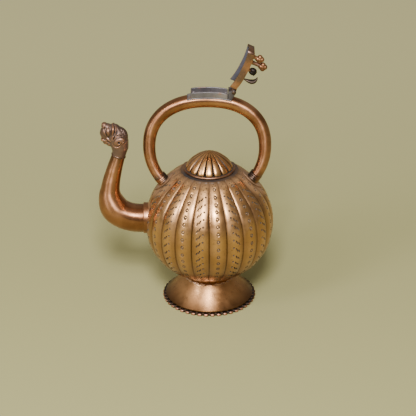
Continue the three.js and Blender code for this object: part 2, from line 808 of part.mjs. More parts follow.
const lidUnder = fillerTop + seamGap;
const lidTop = lidUnder + lidWall;
const lidLeft = -fillerLength / 2 - lidClearance - lidOverhang - lidWall;
const lidWidth = fillerWidth + 2 * (lidClearance + lidWall);
const strapLeft = pinX - strapLength;
const shutPlace = (body) => toGeometry(body).translate(-pinX, 0, -pinZ);

function buildLid() {
  // The blank reaches as far past the hinge end of the hood as it reaches the other way, and is cut there
  const reach = fillerRight - lidLeft;
  const ceiling = archHeight(0) + 2 * lidTop;
  const block = (length, width, corner) => {
    const outline = roundedRectangle(length, width, corner);
    return solid(prism(outline, handleWidestHeight, ceiling).translate(fillerRight, 0, 0));
  };
  const layer = (right, low, high) => solid(archBand(lidLeft - lidWall, right, low, high, 2 * lidWidth));
  const hood = block(2 * reach, lidWidth, fillerCornerRadius + lidWall)
    .intersect(layer(fillerRight, lidUnder - lidSkirt, lidTop));
  const hollow = block(2 * (reach - lidWall), lidWidth - 2 * lidWall, fillerCornerRadius)
    .intersect(layer(fillerRight + lidWall, lidUnder - 2 * lidSkirt, lidUnder));
  // The end wall is filed out to sit over the tube
  const overTube = solid(rod(handleCurve, (u) => handleRadius(u) + lidTubeClearance, handleSteps));
  place(lid, 'lid_shell', shutPlace(hood.subtract(hollow).subtract(overTube)), copper);

  // Strap lapped over the hood's end, with a deep tongue that ends in the middle knuckle
  const strapLow = lidTop + seamGap;
  const tongueLeft = fillerRight + lidClearance;
  const lap = spread(5).map((t) => strapLeft + (fillerRight - strapLeft) * t);
  const upper = lap.map((x) => [x, archHeight(x) + strapLow + strapThickness]);
  const lower = lap.map((x) => [x, archHeight(x) + strapLow]).reverse();
  const tongue = [
    [pinX, pinZ + knuckleRadius],
    [pinX, pinZ - knuckleRadius],
    [tongueLeft, pinZ - knuckleRadius],
    [tongueLeft, archHeight(fillerRight) + strapLow],
  ];
  const strap = solid(slab([...upper, ...tongue, ...lower], strapWidth));
  const roll = toGeometry(knuckle(lidKnuckleWidth)).translate(pinX, 0, pinZ);
  const bore = toGeometry(pinHole(strapWidth)).translate(pinX, 0, pinZ);
  const sideRoom = new THREE.BoxGeometry(2 * pinBehindFiller, strapWidth, 4 * knuckleRadius);
  sideRoom.translate(pinX, lidKnuckleWidth / 2 + strapWidth / 2, pinZ);
  const otherRoom = sideRoom.clone().translate(0, -lidKnuckleWidth - strapWidth, 0);
  const rolled = strap.add(solid(roll)).subtract(solid(bore));
  const narrowed = rolled.subtract(solid(sideRoom)).subtract(solid(otherRoom));
  place(lid, 'lid_strap', shutPlace(narrowed), copper);
}

// Floral spray: a strip along the hood with stalks on it, a curled leaf, a bud and two petals

const stripLow = lidTop + seamGap;
const stripTop = stripLow + sprayBaseThickness;
const stripRight = strapLeft - seamGap;
const onStrip = (x) => archHeight(x) + stripTop + seamGap;
const leafX = stripRight - leafThickness / 2;
const budReach = 1.1 * budRadius;
const budX = leafX - leafThickness / 2 - budGap - budReach;
const upperX = budX - budReach - seamGap - petalRadius;
const petalSpan = 2 * petalRadius + seamGap;
const endX = upperX - Math.sqrt(Math.max(0, petalSpan ** 2 - (upperPetalLift - endPetalLift) ** 2));

function buildSpray() {
  // The strip and its stalks, one under the bud and one under each petal
  let strip = solid(archBand(endX - petalRadius, stripRight, stripLow, stripTop, sprayBaseWidth));
  for (const [x, lift] of [[budX, budLift], [upperX, upperPetalLift], [endX, endPetalLift]]) {
    const height = lift + sprayBaseThickness / 2;
    const stalk = new THREE.CylinderGeometry(stalkRadius, stalkRadius, height, 8).rotateX(Math.PI / 2);
    strip = strip.add(solid(stalk.translate(x, 0, onStrip(x) - seamGap + lift - height / 2)));
  }
  place(lid, 'spray_base', shutPlace(strip), copper);

  // Curled leaf: a crescent that rises from the strip and hooks over towards the bud
  const crescent = new THREE.Shape();
  crescent.moveTo(leafThickness / 2, 0);
  crescent.bezierCurveTo(
    0.75 * leafThickness, 0.46 * leafHeight, 1.5 * leafThickness, 1.12 * leafHeight, -leafHook, leafHeight,
  );
  crescent.bezierCurveTo(
    -0.23 * leafHook, 0.92 * leafHeight, -0.4 * leafThickness, 0.54 * leafHeight, -leafThickness / 2, 0,
  );
  const options = { depth: leafWidth, bevelEnabled: false, curveSegments: 8 };
  const leaf = new THREE.ExtrudeGeometry(crescent, options);
  leaf.rotateX(Math.PI / 2).translate(leafX, leafWidth / 2, onStrip(leafX));
  place(lid, 'spray_leaf', shutPlace(solid(leaf)), darkSolder);

  const budHeight = 0.9 * budRadius;
  const bud = new THREE.SphereGeometry(budRadius, 14, 10).rotateX(Math.PI / 2);
  bud.scale(budReach / budRadius, budHeight / budRadius, budHeight / budRadius);
  bud.translate(budX, 0, onStrip(budX) + budLift + budHeight);
  place(lid, 'spray_bud', shutPlace(solid(bud)), darkSolder);

  // Petals: lobed discs, the upper one on a tall stalk, the other at the free end of the cap
  const petals = [
    ['spray_petal_upper', upperX, upperPetalLift],
    ['spray_petal_end', endX, endPetalLift],
  ];
  for (const [name, x, lift] of petals) {
    const lobes = 5;
    const notch = petalRadius / 4;
    const outline = lobedRing(lobes, petalRadius, notch, 0, 0).map((p) => new THREE.Vector2(p.x, p.y));
    const options = { depth: petalThickness, bevelEnabled: false };
    const disc = new THREE.ExtrudeGeometry(new THREE.Shape(outline), options);
    disc.rotateX(Math.PI / 2).translate(x, petalThickness / 2, onStrip(x) + lift + petalRadius);
    place(lid, name, shutPlace(solid(disc)), copper);
  }
}

buildFoot();
buildBody();
buildDome();
buildSpout();
buildHead();
buildHandle();
buildFiller();
buildHinge();
buildLid();
buildSpray();

lid.position.set(pinX, 0, pinZ);
lid.rotation.y = THREE.MathUtils.degToRad(lidOpenAngle);

// The origin lies under the middle of the whole length, on the plane that the foot stands on
vessel.updateMatrixWorld(true);
const extent = new THREE.Box3().setFromObject(vessel, true);
const centre = extent.getCenter(new THREE.Vector3());
vessel.position.set(-centre.x, -centre.y, -extent.min.z);

export default vessel;
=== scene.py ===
import json
import math

import bpy
from mathutils import Matrix, Vector
from mathutils.bvhtree import BVHTree
from mathutils.geometry import interpolate_bezier

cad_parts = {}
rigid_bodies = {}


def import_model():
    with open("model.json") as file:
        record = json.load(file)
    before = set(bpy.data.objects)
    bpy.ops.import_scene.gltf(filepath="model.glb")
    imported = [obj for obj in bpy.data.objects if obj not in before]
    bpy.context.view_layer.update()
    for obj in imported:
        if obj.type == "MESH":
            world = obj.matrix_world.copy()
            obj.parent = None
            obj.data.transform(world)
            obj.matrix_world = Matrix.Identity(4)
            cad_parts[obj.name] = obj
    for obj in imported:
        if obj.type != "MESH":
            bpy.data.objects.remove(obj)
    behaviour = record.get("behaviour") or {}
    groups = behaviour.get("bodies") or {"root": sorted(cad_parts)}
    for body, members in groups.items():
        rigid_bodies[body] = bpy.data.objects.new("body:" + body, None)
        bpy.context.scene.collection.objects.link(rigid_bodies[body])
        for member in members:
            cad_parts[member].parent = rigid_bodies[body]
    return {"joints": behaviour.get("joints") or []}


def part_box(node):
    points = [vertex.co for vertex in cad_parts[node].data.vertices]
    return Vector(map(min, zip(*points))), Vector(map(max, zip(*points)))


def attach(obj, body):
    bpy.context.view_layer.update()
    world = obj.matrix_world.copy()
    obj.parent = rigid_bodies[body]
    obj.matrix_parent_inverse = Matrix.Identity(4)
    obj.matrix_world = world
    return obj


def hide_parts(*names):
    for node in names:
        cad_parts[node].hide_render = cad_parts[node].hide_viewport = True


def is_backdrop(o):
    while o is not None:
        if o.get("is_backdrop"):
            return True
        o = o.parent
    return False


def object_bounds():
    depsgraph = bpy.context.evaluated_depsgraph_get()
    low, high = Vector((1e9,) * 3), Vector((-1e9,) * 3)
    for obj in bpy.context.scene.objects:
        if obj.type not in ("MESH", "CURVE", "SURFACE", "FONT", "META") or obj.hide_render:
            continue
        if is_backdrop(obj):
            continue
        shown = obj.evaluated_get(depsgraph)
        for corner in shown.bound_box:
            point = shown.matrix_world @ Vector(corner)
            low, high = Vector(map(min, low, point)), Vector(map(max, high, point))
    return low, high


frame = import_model()
cad_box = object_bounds()
mm = 0.001


# Notched rim under the foot
# A flat ring of sheet brass, soldered under the flared foot, that the vessel stands on.
# Its edge is filed into small teeth, and a punched hole ends the notch between two teeth.

rim_low, rim_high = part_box("foot_rim")
axis = Vector(((rim_low.x + rim_high.x) / 2, 0, 0))
upright = Vector((0, 0, 1))
towards_viewer = Vector((0, -1, 0))

RIM_RADIUS = (rim_high.x - rim_low.x) / 2
RIM_INNER_RADIUS = 38.5 * mm
RIM_EDGE_ROUNDING = 0.7 * mm
RIM_TEETH = 44
RIM_COLUMNS_PER_TOOTH = 8
RIM_NOTCH_DEPTH = [2.2 * mm, 1.25 * mm, 0.35 * mm]
RIM_HOLE_RADIUS = 1.15 * mm
RIM_HOLE_INSET = 2.3 * mm
RIM_HOLE_DEPTH = 1.1 * mm
TIP_DEPTH = 1.0 * mm
WELD = 0.002 * mm

PATINA_BROWN = (0.075, 0.042, 0.022)
PATINA_BLACK = (0.03, 0.025, 0.024)
COPPER_PINK = (0.62, 0.30, 0.19)
COPPER_DULL = (0.29, 0.13, 0.065)


def only(piece):
    """Makes a piece the one that is selected and worked on."""
    bpy.ops.object.select_all(action="DESELECT")
    piece.select_set(True)
    bpy.context.view_layer.objects.active = piece


def open_mesh():
    """Opens the piece that is worked on in edit mode, with all of it selected."""
    bpy.ops.object.mode_set(mode="EDIT")
    bpy.ops.mesh.select_all(action="SELECT")


def close_mesh():
    bpy.ops.object.mode_set(mode="OBJECT")


def tidy_skin():
    """Closes the seam and the poles of the piece that is worked on and turns its faces outwards."""
    open_mesh()
    bpy.ops.mesh.remove_doubles(threshold=WELD)
    bpy.ops.mesh.normals_make_consistent(inside=False)
    close_mesh()


def drawn_line(name, points):
    """A line drawn from point to point, left in edit mode with all of it selected."""
    bpy.ops.mesh.primitive_plane_add(size=mm)
    piece = bpy.context.object
    piece.name = name
    open_mesh()
    bpy.ops.mesh.merge(type="CENTER")
    bpy.ops.transform.translate(value=points[0])
    for near, far in zip(points, points[1:]):
        bpy.ops.mesh.extrude_vertices_move(TRANSFORM_OT_translate={"value": far - near})
    bpy.ops.mesh.select_all(action="SELECT")
    return piece


def turned(name, profile, steps, centre=axis, along=upright, out=towards_viewer):
    """A profile of (radius, height) points, spun about an axis as on a lathe."""
    piece = drawn_line(name, [centre + along * height + out * radius for radius, height in profile])
    bpy.ops.mesh.spin(steps=steps, angle=2 * math.pi, center=centre, axis=along)
    tidy_skin()
    return piece


def pick(piece, wanted, kind="VERT"):
    """Opens a piece with some of it selected: corners by place, edges by both ends or faces by direction."""
    close_mesh()
    only(piece)
    bpy.ops.object.mode_set(mode="EDIT")
    bpy.ops.mesh.select_mode(type=kind)
    bpy.ops.mesh.select_all(action="DESELECT")
    close_mesh()
    mesh = piece.data
    if kind == "VERT":
        known = [(corner, [corner.co]) for corner in mesh.vertices]
    elif kind == "EDGE":
        known = [(edge, [mesh.vertices[end].co for end in edge.vertices]) for edge in mesh.edges]
    else:
        known = [(face, [face.normal]) for face in mesh.polygons]
    for item, facts in known:
        item.select = wanted(*facts)
    bpy.ops.object.mode_set(mode="EDIT")


def reach(place):
    """How far a place lies from the vessel's axis."""
    return math.hypot(place.x - axis.x, place.y)


def from_groove(place, grooves, columns_each):
    """How many columns a point stands from the nearest groove; the first groove faces the viewer."""
    turn = math.atan2(place.x - axis.x, -place.y) / (2 * math.pi)
    column = round(turn * grooves * columns_each) % columns_each
    return min(column, columns_each - column)


def push_in(piece, grooves, columns_each, depths, full_radius, beyond=0.0):
    """Draws the columns beside each groove in towards the axis, each by its own depth."""
    for away, depth in enumerate(depths):
        pick(piece, lambda place: from_groove(place, grooves, columns_each) == away
             and reach(place) >= beyond)
        share = 1 - depth / full_radius
        bpy.ops.transform.resize(value=(share, share, 1), center_override=axis)
    close_mesh()


def moved(operator, **how):
    """Shifts, turns, stretches or repeats all of the piece that is worked on."""
    open_mesh()
    operator(**how)
    close_mesh()


def set_round(count):
    """Repeats the piece that is worked on round the vessel's axis, count times in all."""
    turn = 2 * math.pi * (count - 1) / count
    moved(bpy.ops.mesh.spin, steps=count - 1, angle=turn, center=axis, axis=upright, dupli=True)


def applied(piece, kind, **settings):
    """Gives a piece a modifier with its settings, and applies it."""
    modifier = piece.modifiers.new(kind, kind)
    for setting, value in settings.items():
        setattr(modifier, setting, value)
    only(piece)
    bpy.ops.object.modifier_apply(modifier=modifier.name)


def cut(piece, cutter):
    """Takes a cutter's shape out of a piece; the walls of the cut keep the cutter's finish."""
    applied(piece, "BOOLEAN", object=cutter, operation="DIFFERENCE", solver="MANIFOLD")
    bpy.data.objects.remove(cutter)


def finish_with(piece, *finishes):
    piece.data.materials.clear()
    for finish in finishes:
        piece.data.materials.append(finish)


def faces_in_finish(piece, number, wanted=lambda middle: True):
    """Gives the faces whose middle is wanted another of a piece's finishes."""
    for face in piece.data.polygons:
        if wanted(face.center):
            face.material_index = number


def hand_in(piece, node, slot, *finishes, angle=35, body="root"):
    """Shades a piece, with its sharper edges kept, and puts it on a body in a node's place."""
    only(piece)
    bpy.ops.object.shade_smooth_by_angle(angle=math.radians(angle))
    if finishes:
        finish_with(piece, *finishes)
    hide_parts(node)
    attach(piece, body)


def feed(tree, socket, value):
    """Gives a socket its value: another node's output, a number, a vector or a colour."""
    if isinstance(value, bpy.types.NodeSocket):
        tree.links.new(value, socket)
    else:
        socket.default_value = value


def worked_out(tree, operation, *values, kind="Math", result="Value"):
    """What a maths node makes of numbers and other nodes' outputs."""
    node = tree.nodes.new("ShaderNode" + kind)
    node.operation = operation
    for socket, value in zip(node.inputs, values):
        feed(tree, socket, value)
    return node.outputs[result]


def mottle(tree, place, scale, detail):
    """A cloudy pattern of 0 to 1 over a piece; scale is in clouds per metre."""
    noise = tree.nodes.new("ShaderNodeTexNoise")
    noise.inputs["Scale"].default_value = scale
    noise.inputs["Detail"].default_value = detail
    feed(tree, noise.inputs["Vector"], place)
    return noise.outputs["Fac"]


def ranged(tree, value, low, high, new_low, new_high):
    """A value stretched from one range to another, softly at both ends."""
    node = tree.nodes.new("ShaderNodeMapRange")
    node.interpolation_type = "SMOOTHSTEP"
    for socket, number in zip(node.inputs, (value, low, high, new_low, new_high)):
        feed(tree, socket, number)
    return node.outputs["Result"]


def blend(tree, share, below, above):
    """One colour over another by a share; a colour is three numbers or another node's output."""
    node = tree.nodes.new("ShaderNodeMix")
    node.data_type = "RGBA"
    feed(tree, node.inputs["Factor"], share)
    for socket, colour in zip((node.inputs[6], node.inputs[7]), (below, above)):
        feed(tree, socket, (*colour, 1) if isinstance(colour, tuple) else colour)
    return node.outputs[2]


def aged_metal(name, bright, dull, gloss, stain=PATINA_BROWN, stains=0.5, metal=1):
    """Old polished metal: two tones in patches, dark specks, uneven gloss and faint hammer marks."""
    material = bpy.data.materials.new(name)
    material.use_nodes = True
    tree = material.node_tree
    shader = tree.nodes["Principled BSDF"]
    shader.inputs["Metallic"].default_value = metal
    place = tree.nodes.new("ShaderNodeTexCoord").outputs["Object"]

    patches = mottle(tree, place, scale=38, detail=5)
    specks = mottle(tree, place, scale=420, detail=3)
    tone = blend(tree, ranged(tree, patches, 0.36, 0.66, 0, 1), bright, dull)
    marks = ranged(tree, specks, 0.58, 0.74, 0, stains)
    feed(tree, shader.inputs["Base Color"], blend(tree, marks, tone, stain))

    worn = mottle(tree, place, scale=110, detail=4)
    feed(tree, shader.inputs["Roughness"], ranged(tree, worn, 0.3, 0.72, gloss - 0.07, gloss + 0.1))

    bump = tree.nodes.new("ShaderNodeBump")
    bump.inputs["Strength"].default_value = 0.12
    bump.inputs["Distance"].default_value = 0.25 * mm
    feed(tree, bump.inputs["Height"], mottle(tree, place, scale=240, detail=6))
    feed(tree, shader.inputs["Normal"], bump.outputs["Normal"])
    return material


def stain_and_shade_between(material, share, colour, dead=False):
    """Lays a colour over a finish by a pattern of 0 to 1: real stains, and painted shade as well; a dead one
    has no shine.
    """
    tree = material.node_tree
    shader = tree.nodes["Principled BSDF"]
    base, metal = shader.inputs["Base Color"], shader.inputs["Metallic"]
    feed(tree, base, blend(tree, share, base.links[0].from_socket, colour))
    if dead:
        metal_before = metal.links[0].from_socket if metal.links else metal.default_value
        feed(tree, metal, worked_out(tree, "MULTIPLY", ranged(tree, share, 0, 1, 1, 0), metal_before))
        shader.inputs["Specular IOR Level"].default_value = 0.1


def part_vector(material):
    """A finish's own place on the vessel, measured from the vessel's axis."""
    tree = material.node_tree
    centred = tree.nodes.new("ShaderNodeMapping")
    centred.inputs["Location"].default_value = -axis
    feed(tree, centred.inputs["Vector"], tree.nodes.new("ShaderNodeTexCoord").outputs["Object"])
    return centred.outputs["Vector"]


def from_axis(material):
    """A finish's own distance from the vessel's axis."""
    tree = material.node_tree
    flat = worked_out(tree, "MULTIPLY", part_vector(material), (1, 1, 0), kind="VectorMath", result="Vector")
    return worked_out(tree, "LENGTH", flat, kind="VectorMath")


black_recess = aged_metal("black_recess", PATINA_BROWN, PATINA_BLACK, gloss=0.8, stain=PATINA_BLACK, metal=0)
black_recess.node_tree.nodes["Principled BSDF"].inputs["Specular IOR Level"].default_value = 0.1
rim_copper = aged_metal("rim_copper", COPPER_PINK, COPPER_DULL, gloss=0.5)
tips_begin = RIM_RADIUS - TIP_DEPTH
behind_tips = ranged(rim_copper.node_tree, from_axis(rim_copper), tips_begin, RIM_RADIUS, 0.95, 0)
stain_and_shade_between(rim_copper, behind_tips, PATINA_BLACK)

foot_rim = turned("foot_ring", [
    (RIM_INNER_RADIUS, rim_low.z),
    (RIM_RADIUS - RIM_EDGE_ROUNDING, rim_low.z),
    (RIM_RADIUS, rim_low.z + RIM_EDGE_ROUNDING),
    (RIM_RADIUS, rim_high.z - RIM_EDGE_ROUNDING),
    (RIM_RADIUS - RIM_EDGE_ROUNDING, rim_high.z),
    (RIM_RADIUS - 2 * RIM_HOLE_INSET, rim_high.z),
    (RIM_INNER_RADIUS, rim_high.z),
    (RIM_INNER_RADIUS, rim_low.z),
], RIM_TEETH * RIM_COLUMNS_PER_TOOTH)
push_in(foot_rim, RIM_TEETH, RIM_COLUMNS_PER_TOOTH, RIM_NOTCH_DEPTH, RIM_RADIUS,
        beyond=RIM_RADIUS - RIM_HOLE_INSET)

bpy.ops.mesh.primitive_cylinder_add(vertices=10, radius=RIM_HOLE_RADIUS, depth=2 * RIM_HOLE_DEPTH)
rim_holes = bpy.context.object
hole_place = axis + towards_viewer * (RIM_RADIUS - RIM_HOLE_INSET) + upright * rim_high.z
moved(bpy.ops.transform.translate, value=hole_place)
set_round(RIM_TEETH)
for piece in (foot_rim, rim_holes):
    finish_with(piece, rim_copper, black_recess)
faces_in_finish(rim_holes, 1)
cut(foot_rim, rim_holes)
hand_in(foot_rim, "foot_rim", "antique_brass", angle=30)


# Flared foot
# Sheet brass, spun to a flared skirt and open underneath.
# Its neck is soldered to the bowl, and the solder has run out in a wavy bead round the joint.

foot_low, foot_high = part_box("foot")
FOOT_RADIUS = (foot_high.x - foot_low.x) / 2
FOOT_NECK_RADIUS = 21 * mm
FOOT_WALL = 1.5 * mm
FOOT_ROUNDING = 0.3 * FOOT_WALL
FLARE_POWER = 1.15
FLARE_STEPS = 24
BOWL_LOBES = 22
BEAD_DROP = 2.9 * mm
BEAD_WIDTH = 1.9 * mm
BEAD_STAND = 0.45 * BEAD_WIDTH
BEAD_STEPS = 8
BEAD_COLUMNS_PER_LOBE = 8
BEAD_SWELL = [0.0, 0.1 * mm, 0.28 * mm, 0.5 * mm, 0.62 * mm]
BEAD_SAG = 0.9
BEAD_SPILL = 0.6 * mm
SOLDER_PALE = (0.70, 0.46, 0.34)
SKIRT_BRIGHT = (0.60, 0.325, 0.145)
SKIRT_DULL = (0.42, 0.205, 0.085)
SKIRT_SHADE_RED = (0.13, 0.06, 0.025)

flare_rise = foot_high.z - foot_low.z - FOOT_WALL
bead_share = 1 - BEAD_DROP / flare_rise
half_bead = 0.5 * BEAD_WIDTH / flare_rise


def flare(share):
    """The foot's outer line, from its edge up to its neck."""
    radius = FOOT_NECK_RADIUS + (FOOT_RADIUS - FOOT_NECK_RADIUS) * (1 - share) ** FLARE_POWER
    return radius, foot_low.z + FOOT_WALL + flare_rise * share


def bead(share):
    """The solder bead that stands on the foot's outer line."""
    radius, height = flare(bead_share + half_bead * (2 * share - 1))
    return radius + BEAD_STAND * math.sin(math.pi * share), height


def on_bead(place):
    return bead(0)[1] < place.z < bead(1)[1] and reach(place) > FOOT_NECK_RADIUS


def part_of_place(material, part):
    """One coordinate of a finish's own place on the vessel."""
    tree = material.node_tree
    split = tree.nodes.new("ShaderNodeSeparateXYZ")
    feed(tree, split.inputs["Vector"], part_vector(material))
    return split.outputs[part]


def by_height(material, low, high, below, above):
    """A pattern over a finish that goes from one share to another between two heights."""
    return ranged(material.node_tree, part_of_place(material, "Z"), low, high, below, above)


flare_line = [flare((bead_share - half_bead) * step / FLARE_STEPS) for step in range(FLARE_STEPS)]
foot = turned("flared_foot", [
    (FOOT_RADIUS - FOOT_ROUNDING, foot_low.z),
    (FOOT_RADIUS, foot_low.z + FOOT_ROUNDING),
    (FOOT_RADIUS, foot_low.z + FOOT_WALL - FOOT_ROUNDING),
    *flare_line,
    *[bead(step / BEAD_STEPS) for step in range(BEAD_STEPS + 1)],
    (FOOT_NECK_RADIUS, foot_high.z),
    (FOOT_NECK_RADIUS - FOOT_WALL, foot_high.z - FOOT_ROUNDING),
    *[(radius - FOOT_WALL, height - FOOT_WALL) for radius, height in reversed(flare_line)],
    (FOOT_RADIUS - FOOT_ROUNDING, foot_low.z),
], BOWL_LOBES * BEAD_COLUMNS_PER_LOBE)
for away, swell in enumerate(BEAD_SWELL):
    pick(foot, lambda place: on_bead(place)
         and from_groove(place, BOWL_LOBES, BEAD_COLUMNS_PER_LOBE) == away)
    bpy.ops.transform.translate(value=(0, 0, -BEAD_SAG * swell))
    share = 1 + swell / FOOT_NECK_RADIUS
    bpy.ops.transform.resize(value=(share, share, 1), center_override=axis)
close_mesh()

foot_brass = aged_metal("foot_brass", SKIRT_BRIGHT, SKIRT_DULL, gloss=0.33, stains=0.35)
# Painted shade: the foot's flare is darkened towards its edge, dimming its highlight there.
foot_edge_shade = by_height(foot_brass, foot_low.z + 1 * mm, foot_low.z + 13 * mm, below=0.92, above=0)
stain_and_shade_between(foot_brass, foot_edge_shade, SKIRT_SHADE_RED)
solder_bead = aged_metal("solder_bead", SOLDER_PALE, COPPER_DULL, gloss=0.3)
finish_with(foot, foot_brass, solder_bead)
faces_in_finish(foot, 1, lambda middle: on_bead(middle + BEAD_SPILL * upright))
hand_in(foot, "foot", "antique_brass")


# Lobed bowl
# Sheet brass, raised to a round bowl and chased into 22 lobes with a sharp groove between them.
# Every other lobe carries a row of punched rings, and the lobes between carry punched sprigs.

bowl_low, bowl_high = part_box("body_shell")
BOWL_RADIUS = 62 * mm
BOWL_HALF_HEIGHT = 57.2 * mm
BOWL_FULLNESS = 2.12
BOWL_WALL = 1.4 * mm
BOWL_LIP = 0.6 * mm
BOWL_MOUTH_RADIUS = 19 * mm
BOWL_CENTRE = bowl_low.z + BOWL_HALF_HEIGHT
SHOULDER_RISE = 2.3 * mm
SHOULDER_FROM, SHOULDER_TO = 44, 65
LOBE_COLUMNS = 16
HALF_LOBE = LOBE_COLUMNS // 2
LOBE_SWELL = 1.7 * mm
GROOVE_NICK = 0.45 * mm
DARK_LAND_RADIUS = 25.6 * mm
FACING_TURN = -0.25

RING_MARK_RADIUS = 1.3 * mm
RING_MARK_WIDTH = 0.55 * mm
MARKS_FROM, MARKS_TO, MARKS_STEP = -50, 61, 7.2
DOT_RADIUS = 1.25 * mm
DOT_ACROSS = 2.5 * mm
TICK_LENGTH = 2.8 * mm
TICK_WIDTH = 0.85 * mm
TICKS = [(-0.7 * mm, -2.4 * mm), (-3.3 * mm, -4.6 * mm)]
PUNCH_DEPTH = 1.3 * mm
SPRIG_SLANT = 28
STIPPLE_RADIUS = 0.6 * mm
SPRIG_STIPPLE = [(53.6, -2.2), (55.4, 1.3), (57.2, -0.7), (59, 1.9), (60.6, -1.8), (62.4, 0.4)]
RING_STIPPLE = [(61.2, -1.5), (61.6, 1.3), (63.4, -0.2)]

BRASS_BRIGHT = (0.71, 0.395, 0.175)
BRASS_DULL = (0.53, 0.28, 0.115)
GROOVE_BROWN = (0.13, 0.07, 0.032)
LOBE_SHADE_BROWN = (0.30, 0.16, 0.085)
BELLY_SHADE_BROWN = (0.24, 0.15, 0.125)
PUNCH_BRIGHT = (0.12, 0.075, 0.045)
PUNCH_DARK = (0.055, 0.04, 0.03)


def soft_step(share):
    share = min(1, max(0, share))
    return share * share * (3 - 2 * share)


def bowl_line(latitude, inwards=0.0):
    """(radius, height) on the bowl's outline at a latitude in degrees, or on a line inside it."""
    angle = math.radians(latitude)
    power = 2 / BOWL_FULLNESS
    radius = (BOWL_RADIUS - inwards) * math.cos(angle) ** power
    rise = math.copysign(abs(math.sin(angle)) ** power, latitude)
    lift = SHOULDER_RISE * soft_step((latitude - SHOULDER_FROM) / (SHOULDER_TO - SHOULDER_FROM))
    return radius, BOWL_CENTRE + (BOWL_HALF_HEIGHT - inwards) * rise + lift


def stood(place, side, up, away):
    """A frame that stands at a place, with its X, Y and Z along three directions."""
    stand = Matrix.Identity(4)
    for column, direction in enumerate((side, up, away)):
        stand.col[column].xyz = direction
    stand.translation = place
    return stand


def bowl_place(latitude, lobe):
    """A frame on the bowl's skin at a latitude, by lobes round from the front: Z points out, Y up."""
    radius, height = bowl_line(latitude)
    slope = (Vector(bowl_line(latitude + 1)) - Vector(bowl_line(latitude - 1))).normalized()
    turn = 2 * math.pi * lobe / BOWL_LOBES
    out = Vector((math.sin(turn), -math.cos(turn), 0))
    side = Vector((math.cos(turn), math.sin(turn), 0))
    up = out * slope.x + upright * slope.y
    return stood(axis + out * radius + upright * height, side, up, side.cross(up))


def punch_ring(latitude, lobe):
    """One punched ring, as the shape that is driven into the skin."""
    bpy.ops.mesh.primitive_torus_add(major_segments=12, minor_segments=4,
                                     major_radius=RING_MARK_RADIUS, minor_radius=RING_MARK_WIDTH)
    bpy.context.object.matrix_world = bowl_place(latitude, lobe)


def punch_spot(latitude, lobe, across, up, length, width, slant=0):
    """One punched dot or tick beside the middle of a lobe, turned by a slant in degrees."""
    bpy.ops.mesh.primitive_ico_sphere_add(subdivisions=1, radius=1)
    shape = Matrix.Diagonal((width, length, PUNCH_DEPTH, 1))
    shift = Matrix.Translation((across, up, 0))
    turn = Matrix.Rotation(math.radians(slant), 4, "Z")
    bpy.context.object.matrix_world = bowl_place(latitude, lobe) @ shift @ turn @ shape


def punch_sprig(latitude, lobe, hand):
    """One sprig: a dot with two slanting ticks that step down from it, leaning to one hand."""
    punch_spot(latitude, lobe, hand * DOT_ACROSS, 0, DOT_RADIUS, DOT_RADIUS)
    for across, up in TICKS:
        punch_spot(latitude, lobe, hand * across, up, TICK_LENGTH, TICK_WIDTH, -hand * SPRIG_SLANT)


def gathered(name, before):
    """Joins every object made since a moment into one piece at the origin."""
    made = [item for item in bpy.context.scene.objects if item not in before]
    only(made[0])
    for item in made:
        item.select_set(True)
    bpy.ops.object.transform_apply(location=True, rotation=True, scale=True)
    if len(made) > 1:
        bpy.ops.object.join()
    made[0].name = name
    return made[0]


def groove_share(material, grooves, first_turn, width, most=1.0):
    """Most along the grooves of a lobed piece, fading to 0 beside them; width is a share of a lobe."""
    tree = material.node_tree
    turn = worked_out(tree, "ARCTAN2", part_of_place(material, "Y"), part_of_place(material, "X"))
    first_lobe = grooves - first_turn * grooves
    lobes = worked_out(tree, "MULTIPLY_ADD", turn, grooves / (2 * math.pi), first_lobe)
    from_line = worked_out(tree, "PINGPONG", lobes, 0.5)
    return ranged(tree, from_line, 0.2 * width, width, most, 0)


outer_line = [bowl_line(latitude) for latitude in range(-90, SHOULDER_TO + 1, 2)]
inner_line = [bowl_line(latitude, BOWL_WALL) for latitude in range(SHOULDER_TO - 1, -91, -6)]
bowl = turned("lobed_bowl", [
    *outer_line,
    (outer_line[-1][0] - BOWL_LIP, bowl_high.z),
    (BOWL_MOUTH_RADIUS, bowl_high.z),
    (BOWL_MOUTH_RADIUS, bowl_high.z - BOWL_WALL),
    *inner_line[:-1],
    (0, bowl_line(-90, BOWL_WALL)[1]),
], BOWL_LOBES * LOBE_COLUMNS)
lobe_depths = [LOBE_SWELL * (1 - column / HALF_LOBE) ** 2 for column in range(HALF_LOBE)]
lobe_depths[0] += GROOVE_NICK
push_in(bowl, BOWL_LOBES, LOBE_COLUMNS, lobe_depths, BOWL_RADIUS)

marks_each = int((MARKS_TO - MARKS_FROM) / MARKS_STEP) + 1
latitudes = [MARKS_FROM + MARKS_STEP * step for step in range(marks_each)]
before = set(bpy.context.scene.objects)
for latitude in latitudes:
    punch_ring(latitude, 0.5)
ring_marks = gathered("ring_marks", before)
set_round(BOWL_LOBES // 2)

before = set(bpy.context.scene.objects)
for lobe in range(1, BOWL_LOBES, 2):
    hand = -1 if lobe < BOWL_LOBES / 2 else 1
    for latitude in latitudes[1:-1]:
        punch_sprig(latitude, lobe + 0.5, hand)
for lobe in range(BOWL_LOBES):
    for latitude, across in SPRIG_STIPPLE if lobe % 2 else RING_STIPPLE:
        punch_spot(latitude, lobe + 0.5, across * mm, 0, STIPPLE_RADIUS, STIPPLE_RADIUS)
sprig_marks = gathered("sprig_marks", before)

